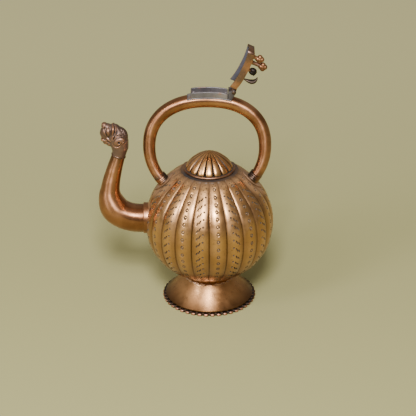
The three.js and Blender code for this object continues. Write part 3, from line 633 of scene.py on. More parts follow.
lobed_brass = aged_metal("lobed_brass", BRASS_BRIGHT, BRASS_DULL, gloss=0.345, stains=0.4)
# Painted shade: each lobe is darkened towards its grooves, for the shading of its rounded flanks.
lobe_flank_shade = groove_share(lobed_brass, BOWL_LOBES, FACING_TURN, width=0.4, most=0.6)
stain_and_shade_between(lobed_brass, lobe_flank_shade, LOBE_SHADE_BROWN)
groove_line = groove_share(lobed_brass, BOWL_LOBES, FACING_TURN, width=0.07, most=0.75)
stain_and_shade_between(lobed_brass, groove_line, GROOVE_BROWN)
# Partly patina near the hoop and partly painted shade: the top of the bowl is darkened and dulled so that it
# catches no highlight.
shoulder_patina_and_shade = by_height(lobed_brass, bowl_high.z - 7 * mm, bowl_high.z - 0.5 * mm, below=0, above=0.97)
stain_and_shade_between(lobed_brass, shoulder_patina_and_shade, PATINA_BROWN, dead=True)
# Painted shade: the lower half of the bowl is darkened towards its bottom.
belly_shade = by_height(lobed_brass, bowl_low.z + 4 * mm, bowl_low.z + 62 * mm, below=0.7, above=0)
stain_and_shade_between(lobed_brass, belly_shade, BELLY_SHADE_BROWN)
punch_brown = aged_metal("punch_brown", PUNCH_BRIGHT, PUNCH_DARK, gloss=0.6, stain=PATINA_BLACK, metal=0.3)
for piece in (bowl, ring_marks, sprig_marks):
    finish_with(piece, lobed_brass, punch_brown, black_recess)
faces_in_finish(bowl, 2, lambda middle: reach(middle) < DARK_LAND_RADIUS and middle.z > BOWL_CENTRE)
for marks in (ring_marks, sprig_marks):
    faces_in_finish(marks, 1)
    cut(bowl, marks)
hand_in(bowl, "body_shell", "antique_brass", angle=50)


# Ring under the dome
# A hoop of copper wire and sheet, soldered to the flat land on top of the bowl.
# Only its rounded edge is worn bright; dark solder fills the step up to the dome.

ring_low, ring_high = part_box("dome_ring")
HOOP_RADIUS = (ring_high.x - ring_low.x) / 2
HOOP_STEPS = 128
HOOP_STEP_DOWN = 0.3
HOOP_WORN = 1.2
HOOP_BRIGHT = (0.36, 0.19, 0.115)
HOOP_DULL = (0.20, 0.10, 0.06)


def arc(start, stop, step):
    """(cosine, sine) of some angles in degrees: the points of a rounded edge."""
    angles = [math.radians(angle) for angle in range(start, stop, step)]
    return [(math.cos(angle), math.sin(angle)) for angle in angles]


half_hoop = (ring_high.z - ring_low.z) / 2
hoop_middle = ring_low.z + half_hoop
hoop_land = ring_high.z - HOOP_STEP_DOWN * half_hoop
hoop = turned("dome_hoop", [
    (BOWL_MOUTH_RADIUS, ring_low.z),
    *[(HOOP_RADIUS - half_hoop + half_hoop * out, hoop_middle + half_hoop * up)
      for out, up in arc(-90, 91, 22)],
    (HOOP_RADIUS - 2 * half_hoop, hoop_land),
    (BOWL_MOUTH_RADIUS, hoop_land),
    (BOWL_MOUTH_RADIUS, ring_low.z),
], HOOP_STEPS)
hoop_copper = aged_metal("hoop_copper", HOOP_BRIGHT, HOOP_DULL, gloss=0.42)
finish_with(hoop, hoop_copper, black_recess)
faces_in_finish(hoop, 1, lambda middle: reach(middle) < HOOP_RADIUS - HOOP_WORN * half_hoop)
hand_in(hoop, "dome_ring", "aged_copper")


# Fluted dome
# A small cap of sheet brass, raised and chased into 16 ribs that run together at its point.
# It is soldered over the ring and closes the bowl; the grooves between its ribs are black with age.

dome_low, dome_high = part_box("dome_cap")
DOME_RADIUS = 22.4 * mm
DOME_WALL = 1.5 * mm
DOME_POINT = 0.9 * mm
POINT_RADIUS = 6 * mm
DOME_BEND = 0.98
SWELLING_BEND, SWELLING_SHARE = 0.75, 0.25
STRAIGHT_BEND, STRAIGHT_SHARE = 0.8, 0.2
DOME_FLUTES = 16
DOME_COLUMNS = 14
DOME_ROWS = 30
FLUTE_DEPTHS = [depth * mm for depth in (1.7, 0.95, 0.5, 0.24, 0.1, 0.03)]


def dome_line(share, inwards=0.0):
    """(radius, height) on the dome's outline, from its edge up to its small raised point."""
    bend = share * math.pi / 2
    out = math.cos(bend) ** DOME_BEND
    swelling = SWELLING_BEND * math.sin(bend) + SWELLING_SHARE * share ** 2
    straighter = STRAIGHT_BEND * (1 - out ** 2) + STRAIGHT_SHARE * (1 - out)
    radius = (DOME_RADIUS - inwards) * out
    point = DOME_POINT * max(0, 1 - radius / POINT_RADIUS) ** 2
    rise = (dome_high.z - dome_low.z - inwards) * (swelling + straighter) / 2
    return radius, dome_low.z + rise + point


dome_outside = [dome_line(row / DOME_ROWS) for row in range(DOME_ROWS)]
dome_inside = [dome_line(row / DOME_ROWS, DOME_WALL) for row in range(DOME_ROWS - 3, -1, -3)]
dome = turned("fluted_dome", [
    *dome_outside,
    (0, dome_high.z + DOME_POINT),
    (0, dome_high.z + DOME_POINT - DOME_WALL),
    *dome_inside,
    dome_outside[0],
], DOME_FLUTES * DOME_COLUMNS)
push_in(dome, DOME_FLUTES, DOME_COLUMNS, FLUTE_DEPTHS, DOME_RADIUS)
half_flute = Matrix.Rotation(math.pi / DOME_FLUTES, 4, "Z")
dome.data.transform(Matrix.Translation(axis) @ half_flute @ Matrix.Translation(-axis))
dome_brass = aged_metal("dome_brass", BRASS_BRIGHT, BRASS_DULL, gloss=0.33, stains=0.4)
flute_turn = FACING_TURN + 0.5 / DOME_FLUTES
stain_and_shade_between(dome_brass, groove_share(dome_brass, DOME_FLUTES, flute_turn, width=0.2), PATINA_BLACK)
hand_in(dome, "dome_cap", "antique_brass", dome_brass, angle=60)


# Spout
# A tapering tube of sheet copper: straight out of the bowl, round a low belly and up in a shallow S.
# It is soldered into a hole in the bowl's side, and a rolled copper collar covers the joint.

SPOUT_HEIGHT = 84.9 * mm
SPOUT_REACH = 33.4 * mm
SPOUT_RISE = 67.2 * mm
SPOUT_ROOT_RADIUS = 13.9 * mm
SPOUT_BEND_RADIUS = 13.8 * mm
SPOUT_SHANK_RADIUS = 9.6 * mm
SPOUT_TIP_RADIUS = 6.4 * mm
SPOUT_WALL = 1.3 * mm
SPOUT_INSET = 4 * mm
SPOUT_STEPS = 90
SPOUT_BENDS = [(0.26, 0), (0.58, 0.04), (0.86, 0.14), (1, 0.33), (0.98, 0.53), (0.87, 0.77), (0.735, 1)]
BELLY_ENDS = 0.4
SHANK_FROM, SHANK_SHARE = 0.38, 0.25
TAPER_FROM, TAPER_POWER = 0.58, 0.8
SPOUT_COLLAR_ROOM = 0.15 * mm
SPOUT_COLLAR_WIDTH = 1.0 * mm
SPOUT_COLLAR_LENGTH = 1.9 * mm
CURVE_STEPS = 24
POLISH_STREAK = 0.85
SPOUT_BRIGHT = (0.47, 0.225, 0.12)
COPPER_BRIGHT = (0.55, 0.27, 0.145)
JOINT_SHADE_BROWN = (0.105, 0.062, 0.036)


def streaked(piece, path, material):
    """Notes which way a tube runs, so that its round-and-round polish draws the light out along it."""
    run = piece.data.attributes.new("run", "FLOAT_VECTOR", "POINT")
    for vertex in piece.data.vertices:
        near = min(range(1, len(path)), key=lambda step: (path[step] - vertex.co).length_squared)
        run.data[vertex.index].vector = (path[near] - path[near - 1]).normalized()
    tree = material.node_tree
    noted = tree.nodes.new("ShaderNodeAttribute")
    noted.attribute_name = "run"
    shader = tree.nodes["Principled BSDF"]
    shader.inputs["Anisotropic"].default_value = POLISH_STREAK
    feed(tree, shader.inputs["Tangent"], noted.outputs["Vector"])


def soft_curve(corners):
    """Many short stretches that pass softly through a few corners."""
    line = [2 * corners[0] - corners[1], *corners, 2 * corners[-1] - corners[-2]]
    points = []
    for before, start, end, after in zip(line, line[1:], line[2:], line[3:]):
        leaving = start + (end - before) / 6
        arriving = end - (after - start) / 6
        points += interpolate_bezier(start, leaving, arriving, end, CURVE_STEPS)[:-1]
    return [*points, corners[-1]]


def evenly(points, steps):
    """Points at even distances along a line of many short stretches."""
    run = [0.0]
    for near, far in zip(points, points[1:]):
        run.append(run[-1] + (far - near).length)
    even = []
    stretch = 0
    for step in range(steps + 1):
        wanted = run[-1] * step / steps
        while stretch < len(points) - 2 and run[stretch + 1] < wanted:
            stretch += 1
        share = (wanted - run[stretch]) / (run[stretch + 1] - run[stretch])
        even.append(points[stretch].lerp(points[stretch + 1], share))
    return even


def drawn_tube(name, path, radii, sides=40, capped=False):
    """A round tube drawn along a path, with a radius of its own at every point."""
    bpy.ops.curve.primitive_nurbs_path_add()
    curve = bpy.context.object.data
    curve.splines.clear()
    line = curve.splines.new("POLY")
    line.points.add(len(path) - 1)
    for point, place, radius in zip(line.points, path, radii):
        point.co = (*place, 1)
        point.radius = radius
    curve.bevel_depth = 1
    curve.bevel_resolution = sides // 2 - 2
    curve.use_fill_caps = capped
    bpy.ops.object.convert(target="MESH")
    piece = bpy.context.object
    piece.name = name
    tidy_skin()
    return piece


def walled(piece, wall, inner_finish=0):
    """Gives an open skin its wall, inwards from the skin; the inner side can have another finish."""
    applied(piece, "SOLIDIFY", thickness=wall, offset=-1, material_offset=inner_finish)


def bowl_radius_at(height):
    share = abs(height - BOWL_CENTRE) / BOWL_HALF_HEIGHT
    return BOWL_RADIUS * (1 - share ** BOWL_FULLNESS) ** (1 / BOWL_FULLNESS)


def spout_radius(share):
    """The spout's radius along its length: even round the belly, then a long taper up the shank."""
    belly = SPOUT_ROOT_RADIUS + (SPOUT_BEND_RADIUS - SPOUT_ROOT_RADIUS) * min(1, share / BELLY_ENDS)
    narrowed = soft_step((share - SHANK_FROM) / SHANK_SHARE)
    shank = SPOUT_BEND_RADIUS + (SPOUT_SHANK_RADIUS - SPOUT_BEND_RADIUS) * narrowed
    taper = max(0, (share - TAPER_FROM) / (1 - TAPER_FROM)) ** TAPER_POWER
    return min(belly, shank) - taper * (SPOUT_SHANK_RADIUS - SPOUT_TIP_RADIUS)


def near_place(material, place, near, far, most):
    """Most around a place on a finish, fading to 0 between two distances from it."""
    tree = material.node_tree
    away = worked_out(tree, "DISTANCE", part_vector(material), place - axis, kind="VectorMath")
    return ranged(tree, away, near, far, most, 0)


spout_root = Vector((axis.x - bowl_radius_at(SPOUT_HEIGHT), 0, SPOUT_HEIGHT))
spout_path = evenly(soft_curve([
    spout_root + Vector((-out * SPOUT_REACH, 0, up * SPOUT_RISE))
    for out, up in [(-SPOUT_INSET / SPOUT_REACH, 0), *SPOUT_BENDS]
]), SPOUT_STEPS)
spout_radii = [spout_radius(step / SPOUT_STEPS) for step in range(SPOUT_STEPS + 1)]
spout = drawn_tube("bent_spout", spout_path, spout_radii)
walled(spout, SPOUT_WALL)
spout_copper = aged_metal("spout_copper", SPOUT_BRIGHT, COPPER_DULL, gloss=0.37, stains=0.3)
streaked(spout, spout_path, spout_copper)
tip_height = SPOUT_HEIGHT + SPOUT_RISE
tip_stain = by_height(spout_copper, tip_height - 14 * mm, tip_height, below=0, above=0.55)
stain_and_shade_between(spout_copper, tip_stain, PATINA_BROWN)
hand_in(spout, "spout_tube", "aged_copper", spout_copper)

collar_inner = SPOUT_ROOT_RADIUS + SPOUT_COLLAR_ROOM
spout_collar = turned("spout_collar_ring", [
    (collar_inner, -SPOUT_INSET),
    (collar_inner + SPOUT_COLLAR_WIDTH, -SPOUT_INSET),
    *[(collar_inner + SPOUT_COLLAR_WIDTH * out, SPOUT_COLLAR_LENGTH + SPOUT_COLLAR_WIDTH * (up - 1))
      for out, up in arc(0, 91, 18)],
    (collar_inner, -SPOUT_INSET),
], steps=64, centre=spout_root, along=Vector((-1, 0, 0)), out=upright)
# Painted shade on the bowl round the spout's collar, dark and dull so that it shows no reflection.
spout_root_shade = near_place(lobed_brass, spout_root, near=14 * mm, far=26 * mm, most=0.75)
stain_and_shade_between(lobed_brass, spout_root_shade, JOINT_SHADE_BROWN, dead=True)
aged_copper = aged_metal("aged_copper", COPPER_BRIGHT, COPPER_DULL, gloss=0.36)
hand_in(spout_collar, "spout_collar", "aged_copper", aged_copper, angle=50)


# Animal head on the spout
# Cast copper, chased afterwards: an open-mouthed beast with an upturned snout and leaf-shaped ears.
# It is soldered to the spout's tip under a thin dark band, and the water runs out of its mouth.

HEAD_LENGTH = 21 * mm
HEAD_RISE = 22.5 * mm
HEAD_GRAIN = 0.28 * mm
SIGHT = math.radians(25.7)
SIGHT_LENGTH = 50 * mm
RIDGE_STEPS = 16
MOUTH_BORE = 3.4 * mm
WATER_INSET = 2 * mm
WATER_STEPS = 24
FOLD_DEPTH = 0.5 * mm
BAND_ROOM = 0.05 * mm
BAND_WIDTH = 0.7 * mm
BAND_LENGTH = 1.8 * mm
HEAD_BROWN = (0.15, 0.103, 0.09)
CROWN_BROWN = (0.10, 0.062, 0.05)
DARK_BRIGHT = (0.16, 0.10, 0.07)
DARK_DULL = (0.06, 0.042, 0.033)

# Places on the head are shares of its length and rise; sizes and distances to the side are in millimetres
THROAT = [(0, 0), (-0.04, 0.16), (-0.07, 0.36), (-0.04, 0.62), (0.06, 0.86)]
THROAT_RADII = [6.4 * mm, 6.9 * mm, 8.2 * mm, 9.3 * mm, 8.8 * mm]
HEAD_LUMPS = [
    ((0.03, 0.88), (10.2, 8.8, 10.2), 20),
    ((0.2, 1.16), (7.2, 7.0, 6.6), -8),
    ((0.46, 1.12), (7.4, 6.4, 6.4), -10),
    ((0.56, 1.0), (5.8, 5.4, 6.4), 0),
    ((0.46, 1.34), (4.4, 4.2, 3.0), 14),
    ((0.6, 1.36), (3.2, 4.0, 3.4), 20),
    ((0.6, 1.43), (3.0, 3.4, 2.2), 10),
    ((0.52, 0.78), (5.2, 5.2, 3.2), -16),
    ((0.66, 0.77), (3.0, 4.4, 2.4), 0),
    ((0.34, 0.64), (5.0, 5.4, 4.2), -30),
    ((0.5, 0.7), (4.6, 5.0, 3.2), -32),
]
RIDGES = [
    ([(0.46, 1.31), (0.435, 1.16), (0.42, 1.01), (0.37, 0.845)], 2.1, 0.2, 0.9),
    ([(0.25, 1.43), (0.205, 1.26), (0.21, 1.11), (0.25, 0.91)], 1.3, 0.5, 0.4),
    ([(0.52, 0.805), (0.41, 0.715), (0.31, 0.635)], 1.4, 0.5, 0.4),
]
EAR_LUMP = ((-0.07, 0.81, 8.9), (5.2, 1.7, 3.7), -25)
MOUTH_LUMP = ((0.82, 0.85), (6.4, 3.6, 1.7), 6)
WATER_WAY = [(-0.06, 0.35), (0.04, 0.7), (0.4, 0.9), (0.9, 0.88)]
PITS = [((0.71, 1.36, 2.6), (1.1, 1.1, 0.9)), ((-0.05, 0.78, 10.7), (1.5, 1.6, 1.5))]
GROOVES = [
    ([(0.58, 1.35), (0.595, 1.23), (0.56, 1.06), (0.495, 0.895), (0.45, 0.8)], 0.7),
    ([(0.375, 1.35), (0.31, 1.215), (0.298, 1.01), (0.33, 0.78)], 0.7),
    ([(0.145, 1.39), (0.117, 1.18), (0.145, 1.01), (0.205, 0.86)], 0.7),
    ([(0.02, 1.28), (0.034, 1.06), (0.113, 0.91), (0.235, 0.68)], 0.85),
    ([(0.24, 0.59), (0.145, 0.385), (-0.05, 0.41), (-0.22, 0.6), (-0.3, 0.78)], 0.65),
    ([(0.145, 0.82), (-0.06, 0.925), (-0.26, 0.875)], 0.55),
    ([(0.545, 0.69), (0.45, 0.615), (0.325, 0.55)], 0.45),
    ([(-0.09, 1.24), (-0.185, 1.11), (-0.245, 0.96)], 0.5),
    ([(-0.185, 1.2), (-0.27, 1.06), (-0.32, 0.89)], 0.5),
    ([(0.79, 0.8), (0.7, 0.768), (0.57, 0.68)], 0.6),
]
BACK_OF_CROWN = (-0.2, 1.15)
BROW = (0.5, 1.2)

neck_place = spout_path[-1]
neck_leaves = (spout_path[-1] - spout_path[-2]).normalized()


def head_at(forward, up, side=0.0):
    """A place on the head, by shares of its length and rise from the neck and millimetres to the side."""
    return neck_place + Vector((-forward * HEAD_LENGTH, side * mm, up * HEAD_RISE))


def lump(place, sizes, lean=0):
    """A rounded lump of a casting: half sizes along, across and up in millimetres, leaning by degrees."""
    bpy.ops.mesh.primitive_uv_sphere_add(segments=24, ring_count=14, radius=1)
    turn = Matrix.Rotation(math.radians(lean), 4, "Y")
    shape = Matrix.Diagonal((*[size * mm for size in sizes], 1))
    bpy.context.object.matrix_world = Matrix.Translation(place) @ turn @ shape


def on_skin(skin, forward, up, hand):
    """Where the sight of a viewer on one hand, past a place in the head's middle plane, meets its skin."""
    sight = Vector((0, -hand * math.cos(SIGHT), -math.sin(SIGHT)))
    place = head_at(forward, up)
    return skin.ray_cast(place - SIGHT_LENGTH * sight, sight)[0] or place


def ridge(skin, hand, places, thick, ends=0.5, sunk=0.0):
    """A chased ridge or groove along a few places on the head's skin, slimmer at its two ends."""
    shares = [step / RIDGE_STEPS for step in range(RIDGE_STEPS + 1)]
    radii = [thick * mm * (ends + (1 - ends) * math.sin(math.pi * share)) for share in shares]
    inwards = Vector((0, -hand, 0)) * sunk * mm
    path = soft_curve([on_skin(skin, *place, hand) + inwards for place in places])
    drawn_tube("ridge", evenly(path, RIDGE_STEPS), radii, sides=12, capped=True)


def skin_of(piece):
    return BVHTree.FromObject(piece, bpy.context.evaluated_depsgraph_get())


def softened(piece, passes):
    applied(piece, "SMOOTH", iterations=passes)


def melted(piece, grain, passes=0):
    """Melts the overlapping lumps of a piece into one skin, and softens it."""
    applied(piece, "REMESH", mode="VOXEL", voxel_size=grain)
    if passes:
        softened(piece, passes)
    return piece


def note_recesses(piece, depth, passes):
    """Notes how far each point lies below a softened copy of the skin: 1 in recesses, 0 on ridges."""
    soft = piece.copy()
    soft.data = piece.data.copy()
    bpy.context.collection.objects.link(soft)
    softened(soft, passes)
    recess = piece.data.attributes.new("recess", "FLOAT", "POINT")
    for vertex, softer in zip(piece.data.vertices, soft.data.vertices):
        below = (softer.co - vertex.co).dot(vertex.normal)
        recess.data[vertex.index].value = min(1, max(0, 0.5 + below / depth))
    bpy.data.objects.remove(soft)


def recess_share(material, low, high, most):
    """A pattern of 0 to most that follows the recesses noted on a piece."""
    tree = material.node_tree
    noted = tree.nodes.new("ShaderNodeAttribute")
    noted.attribute_name = "recess"
    return ranged(tree, noted.outputs["Fac"], low, high, 0, most)


before = set(bpy.context.scene.objects)
drawn_tube("throat", [head_at(*place) for place in THROAT], THROAT_RADII, sides=32, capped=True)
for place, sizes, lean in HEAD_LUMPS:
    lump(head_at(*place), sizes, lean)
head = melted(gathered("beast_head", before), HEAD_GRAIN, passes=3)

bare_skin = skin_of(head)
for hand in (-1, 1):
    for raised in RIDGES:
        ridge(bare_skin, hand, *raised)
    (forward, up, side), sizes, lean = EAR_LUMP
    lump(head_at(forward, up, hand * side), sizes, lean)
head = melted(gathered("beast_head", before), HEAD_GRAIN, passes=1)

skin = skin_of(head)
before = set(bpy.context.scene.objects)
place, sizes, lean = MOUTH_LUMP
lump(head_at(*place), sizes, lean)
water_corners = [neck_place - neck_leaves * WATER_INSET, *[head_at(*place) for place in WATER_WAY]]
water_path = evenly(soft_curve(water_corners), WATER_STEPS)
drawn_tube("water_way", water_path, [MOUTH_BORE] * len(water_path), sides=20, capped=True)
for hand in (-1, 1):
    for (forward, up, side), sizes in PITS:
        lump(head_at(forward, up, hand * side), sizes)
    for sunken in GROOVES:
        ridge(skin, hand, *sunken)
cut(head, melted(gathered("chasing", before), HEAD_GRAIN))
melted(head, HEAD_GRAIN, passes=1)

note_recesses(head, FOLD_DEPTH, passes=24)
head_copper = aged_metal("head_copper", SPOUT_BRIGHT, COPPER_DULL, gloss=0.4, metal=0.78)
stain_and_shade_between(head_copper, recess_share(head_copper, low=0.34, high=0.5, most=0.9), HEAD_BROWN)
back_of_crown = near_place(head_copper, head_at(*BACK_OF_CROWN), near=6 * mm, far=13 * mm, most=0.8)
stain_and_shade_between(head_copper, back_of_crown, CROWN_BROWN)
brow = near_place(head_copper, head_at(*BROW), near=7 * mm, far=11 * mm, most=0.5)
stain_and_shade_between(head_copper, brow, CROWN_BROWN)
stain_and_shade_between(head_copper, recess_share(head_copper, low=0.52, high=0.72, most=0.98), PATINA_BLACK)
hand_in(head, "spout_head", "aged_copper", head_copper, angle=80)

dark_patina = aged_metal("dark_patina", DARK_BRIGHT, DARK_DULL, gloss=0.42, stain=PATINA_BLACK)
band_inner = SPOUT_TIP_RADIUS + BAND_ROOM
half_band = BAND_LENGTH / 2
neck_band = turned("neck_band", [
    (band_inner, -half_band),
    *[(band_inner + BAND_WIDTH * out, half_band * up) for out, up in arc(-90, 91, 30)],
    (band_inner, half_band),
    (band_inner, -half_band),
], steps=48, centre=neck_place, along=neck_leaves, out=towards_viewer)
hand_in(neck_band, "spout_neck_band", "dark_patina", dark_patina)


# Loop handle
# A copper tube bent to a squared arch, which is also the pipe that the vessel is filled through.
# Its crown is filed flat and slotted for the filler, and both ends are soldered into the bowl.

TUBE_RADIUS = 6.7 * mm
TUBE_END_RADIUS = 5.1 * mm
TUBE_WALL = 1.25 * mm
TUBE_STEPS = 150
TUBE_TAPER_FROM, TUBE_TAPER_POWER = 0.2, 1.3
HALF_SPAN = 55.1 * mm
WIDEST_HEIGHT = 160.5 * mm
ARCH_RISE = 48.8 * mm
ARCH_STEPS = 900
LEG_DROP = 56 * mm
LEG_TURNS = [step / 500 for step in range(800)]
SQUARENESS = 2.3
LEAN = -2 * mm
LEG_INSET = 3 * mm
SADDLE_SEAT = 4.6 * mm
SADDLE_LENGTH = 42 * mm
SLOT_LENGTH = 28 * mm
SLOT_WIDTH = 8.6 * mm
SLATE_STAIN = (0.12, 0.11, 0.115)


def handle_point(angle):
    """A place on the handle's centreline: 0 at its right, half a turn at its left, lower on the legs."""
    over = math.sin(angle) > 0
    power = 2 / SQUARENESS if over else 1
    drop = ARCH_RISE if over else LEG_DROP
    across = math.copysign(abs(math.cos(angle)) ** power, math.cos(angle))
    up = math.copysign(abs(math.sin(angle)) ** power, math.sin(angle))
    return axis + Vector((LEAN + HALF_SPAN * across, 0, WIDEST_HEIGHT + drop * up))


def arch_height(across):
    """Height of the handle's centreline at a distance from the vessel's axis."""
    share = min(1, abs(across - LEAN) / HALF_SPAN)
    return WIDEST_HEIGHT + ARCH_RISE * (1 - share ** SQUARENESS) ** (1 / SQUARENESS)


def in_bowl(place, grow):
    """Whether a place in the handle's plane lies inside the bowl, grown by a distance."""
    across = abs(place.x - axis.x) / (BOWL_RADIUS + grow)
    up = abs(place.z - BOWL_CENTRE) / (BOWL_HALF_HEIGHT + grow)
    return across ** BOWL_FULLNESS + up ** BOWL_FULLNESS < 1


def handle_radius(share):
    """Full over the top of the arch, and narrower down both legs."""
    to_end = 2 * abs(share - 0.5)
    taper = max(0, (to_end - TUBE_TAPER_FROM) / (1 - TUBE_TAPER_FROM)) ** TUBE_TAPER_POWER
    return TUBE_RADIUS + (TUBE_END_RADIUS - TUBE_RADIUS) * taper


def bar(name, left, right, low, high, width, columns=1):
    """A straight bar over the vessel's axis, parted into columns so that it can follow the arch."""
    bpy.ops.mesh.primitive_cube_add(size=1)
    piece = bpy.context.object
    piece.name = name
    moved(bpy.ops.transform.resize, value=(right - left, width, high - low))
    middle = axis + Vector(((left + right) / 2, 0, (low + high) / 2))
    moved(bpy.ops.transform.translate, value=middle)
    part_in_columns(piece, left, right, columns)
    return piece


def part_in_columns(piece, left, right, columns):
    """Cuts a bar across into columns."""
    only(piece)
    for column in range(1, columns):
        across = axis.x + left + (right - left) * column / columns
        open_mesh()
        bpy.ops.mesh.bisect(plane_co=(across, 0, 0), plane_no=(1, 0, 0))
    close_mesh()


def follow_arch(piece):
    """Lifts each cross-section of a straight piece to the handle's arch."""
    near = 0.001 * mm
    for across in sorted({round(vertex.co.x, 6) for vertex in piece.data.vertices}):
        pick(piece, lambda place: abs(place.x - across) < near)
        bpy.ops.transform.translate(value=(0, 0, arch_height(across - axis.x)))
    close_mesh()
    return piece


def slot_cutter():
    half_slot = SLOT_LENGTH / 2
    return follow_arch(bar("slot", -half_slot, half_slot, 0, 2 * TUBE_RADIUS, SLOT_WIDTH, columns=10))


leg_turn = next(turn for turn in LEG_TURNS if in_bowl(handle_point(math.pi + turn), -LEG_INSET))
whole_turn = math.pi + 2 * leg_turn
handle_path = evenly([handle_point(math.pi + leg_turn - whole_turn * step / ARCH_STEPS)
                      for step in range(ARCH_STEPS + 1)], TUBE_STEPS)
handle_radii = [handle_radius(step / TUBE_STEPS) for step in range(TUBE_STEPS + 1)]
handle = drawn_tube("loop_handle", handle_path, handle_radii)
walled(handle, TUBE_WALL)
half_saddle = SADDLE_LENGTH / 2
crown = bar("crown", -half_saddle, half_saddle, SADDLE_SEAT, 2 * TUBE_RADIUS, 4 * TUBE_RADIUS, columns=16)
cut(handle, follow_arch(crown))
cut(handle, slot_cutter())

handle_copper = aged_metal("handle_copper", COPPER_BRIGHT, COPPER_DULL, gloss=0.39, stains=0.35)
streaked(handle, handle_path, handle_copper)
leg_root = handle_path[0]
solder = by_height(handle_copper, leg_root.z + 6 * mm, leg_root.z + 15 * mm, below=0.85, above=0)
stain_and_shade_between(handle_copper, solder, SLATE_STAIN)
hand_in(handle, "handle_tube", "aged_copper", handle_copper, angle=40)


# Plates and collars at the feet of the handle
# Each leg comes out of a leaf-shaped plate of sheet brass, soldered along the bowl's shoulder.
# A ribbed collar of dark metal closes the joint between the plate and the tube.

PLATE_LENGTH = 26 * mm
PLATE_WIDTH = 15 * mm
PLATE_THICKNESS = 1.2 * mm
PLATE_COLUMNS, PLATE_ROWS = 26, 12
PLATE_TIP = 0.02
PLATE_FULLNESS, PLATE_POINT = 1.9, 0.8
PLATE_EDGE = 0.45 * mm
COLLAR_RADIUS = 6.2 * mm
COLLAR_SHIFT = 0.6 * mm
COLLAR_SUNK = 2 * mm
COLLAR_LENGTH = 5.2 * mm
COLLAR_RIBS = 3
COLLAR_RIB_DEPTH = 0.5 * mm
COLLAR_STEPS = 36
COLLAR_ROOM = 0.1 * mm
PLATE_BRIGHT = (0.36, 0.21, 0.12)
PLATE_DULL = (0.20, 0.115, 0.065)


def bevelled(piece, width, segments=3, angle=40):
    applied(piece, "BEVEL", width=width, segments=segments, limit_method="ANGLE",
            angle_limit=math.radians(angle))


def collar_line(share):
    """(radius, height) on a collar's ribbed outside, from its foot to its top."""
    groove = 0.5 - 0.5 * math.cos(2 * math.pi * COLLAR_RIBS * share)
    return COLLAR_RADIUS - COLLAR_RIB_DEPTH * groove, COLLAR_LENGTH * share


collar_copper = aged_metal("collar_copper", COPPER_BRIGHT, COPPER_DULL, gloss=0.34)
from_middle = worked_out(collar_copper.node_tree, "ABSOLUTE", part_of_place(collar_copper, "X"))
leg_across = abs(leg_root.x - axis.x)
inner_dark = ranged(collar_copper.node_tree, from_middle, leg_across + 1 * mm, leg_across + 5 * mm, 0.95, 0.2)
stain_and_shade_between(collar_copper, inner_dark, DARK_DULL)
plate_brass = aged_metal("plate_brass", PLATE_BRIGHT, PLATE_DULL, gloss=0.42, metal=0.6)

bowl_form = turned("bowl_form", [*outer_line, (0, bowl_high.z)], steps=90)
ribs = [collar_line(step / COLLAR_STEPS) for step in range(COLLAR_STEPS + 1)]
for side, path in (("left", handle_path), ("right", handle_path[::-1])):
    emerged = next(step for step, place in enumerate(path) if not in_bowl(place, PLATE_THICKNESS))
    root = path[emerged]
    outward = (path[emerged + 1] - root).normalized()
    along_plate = towards_viewer.cross(outward)

    bpy.ops.mesh.primitive_grid_add(x_subdivisions=PLATE_COLUMNS, y_subdivisions=PLATE_ROWS, size=1)
    plate = bpy.context.object
    plate.name = "leaf_plate_" + side
    for column in range(PLATE_COLUMNS + 1):
        share = 2 * column / PLATE_COLUMNS - 1
        pick(plate, lambda place: abs(2 * place.x - share) < 0.01)
        leaf_width = max(PLATE_TIP, (1 - abs(share) ** PLATE_FULLNESS) ** PLATE_POINT)
        bpy.ops.transform.resize(value=(1, leaf_width, 1), center_override=(0, 0, 0))
    moved(bpy.ops.transform.resize, value=(PLATE_LENGTH, PLATE_WIDTH, 1))
    plate.data.transform(stood(root, along_plate, towards_viewer, along_plate.cross(towards_viewer)))
    applied(plate, "SHRINKWRAP", target=bowl_form, wrap_mode="ABOVE_SURFACE", offset=PLATE_THICKNESS)
    tidy_skin()
    if plate.data.polygons[0].normal.dot(outward) < 0:
        plate.data.flip_normals()
    walled(plate, PLATE_THICKNESS)
    bevelled(plate, PLATE_EDGE)
    # Painted shade on the bowl round each plate, dark and dull so that it shows no reflection.
    plate_shade = near_place(lobed_brass, root, near=11 * mm, far=24 * mm, most=0.75)
    stain_and_shade_between(lobed_brass, plate_shade, JOINT_SHADE_BROWN, dead=True)
    hand_in(plate, "handle_plate_" + side, "antique_brass", plate_brass)

    inner_side = along_plate if along_plate.z > 0 else -along_plate
    sunk = [(0, -COLLAR_SUNK), (COLLAR_RADIUS, -COLLAR_SUNK)]
    collar = turned("leg_collar_" + side, [*sunk, *ribs, (0, COLLAR_LENGTH)], steps=48,
                    centre=root + inner_side * COLLAR_SHIFT, along=outward, out=towards_viewer)
    through = [root - outward * COLLAR_LENGTH, root + outward * 2 * COLLAR_LENGTH]
    cut(collar, drawn_tube("bore", through, [TUBE_END_RADIUS + COLLAR_ROOM] * 2, sides=48, capped=True))
    hand_in(collar, "handle_collar_" + side, "dark_patina", collar_copper, angle=50)
bpy.data.objects.remove(bowl_form)


# Filler on the handle
# A slate-grey plate is soldered on the filed crown of the handle, which it follows.
# An upright collar of thick sheet stands on it, soldered round the slot that the water goes in by.

SEAM = 0.3 * mm
EDGE = 0.35 * mm
SADDLE_WIDTH = 13.9 * mm
SADDLE_THICKNESS = 0.7 * mm
SADDLE_DEPTH = 1.1 * mm
FILLER_LENGTH = 35 * mm
FILLER_WIDTH = 13.4 * mm
FILLER_HEIGHT = 5.2 * mm
FILLER_WALL = 1.3 * mm
FILLER_CORNER = 1.6 * mm
SLATE_BRIGHT = (0.23, 0.205, 0.205)
SLATE_DULL = (0.10, 0.09, 0.097)

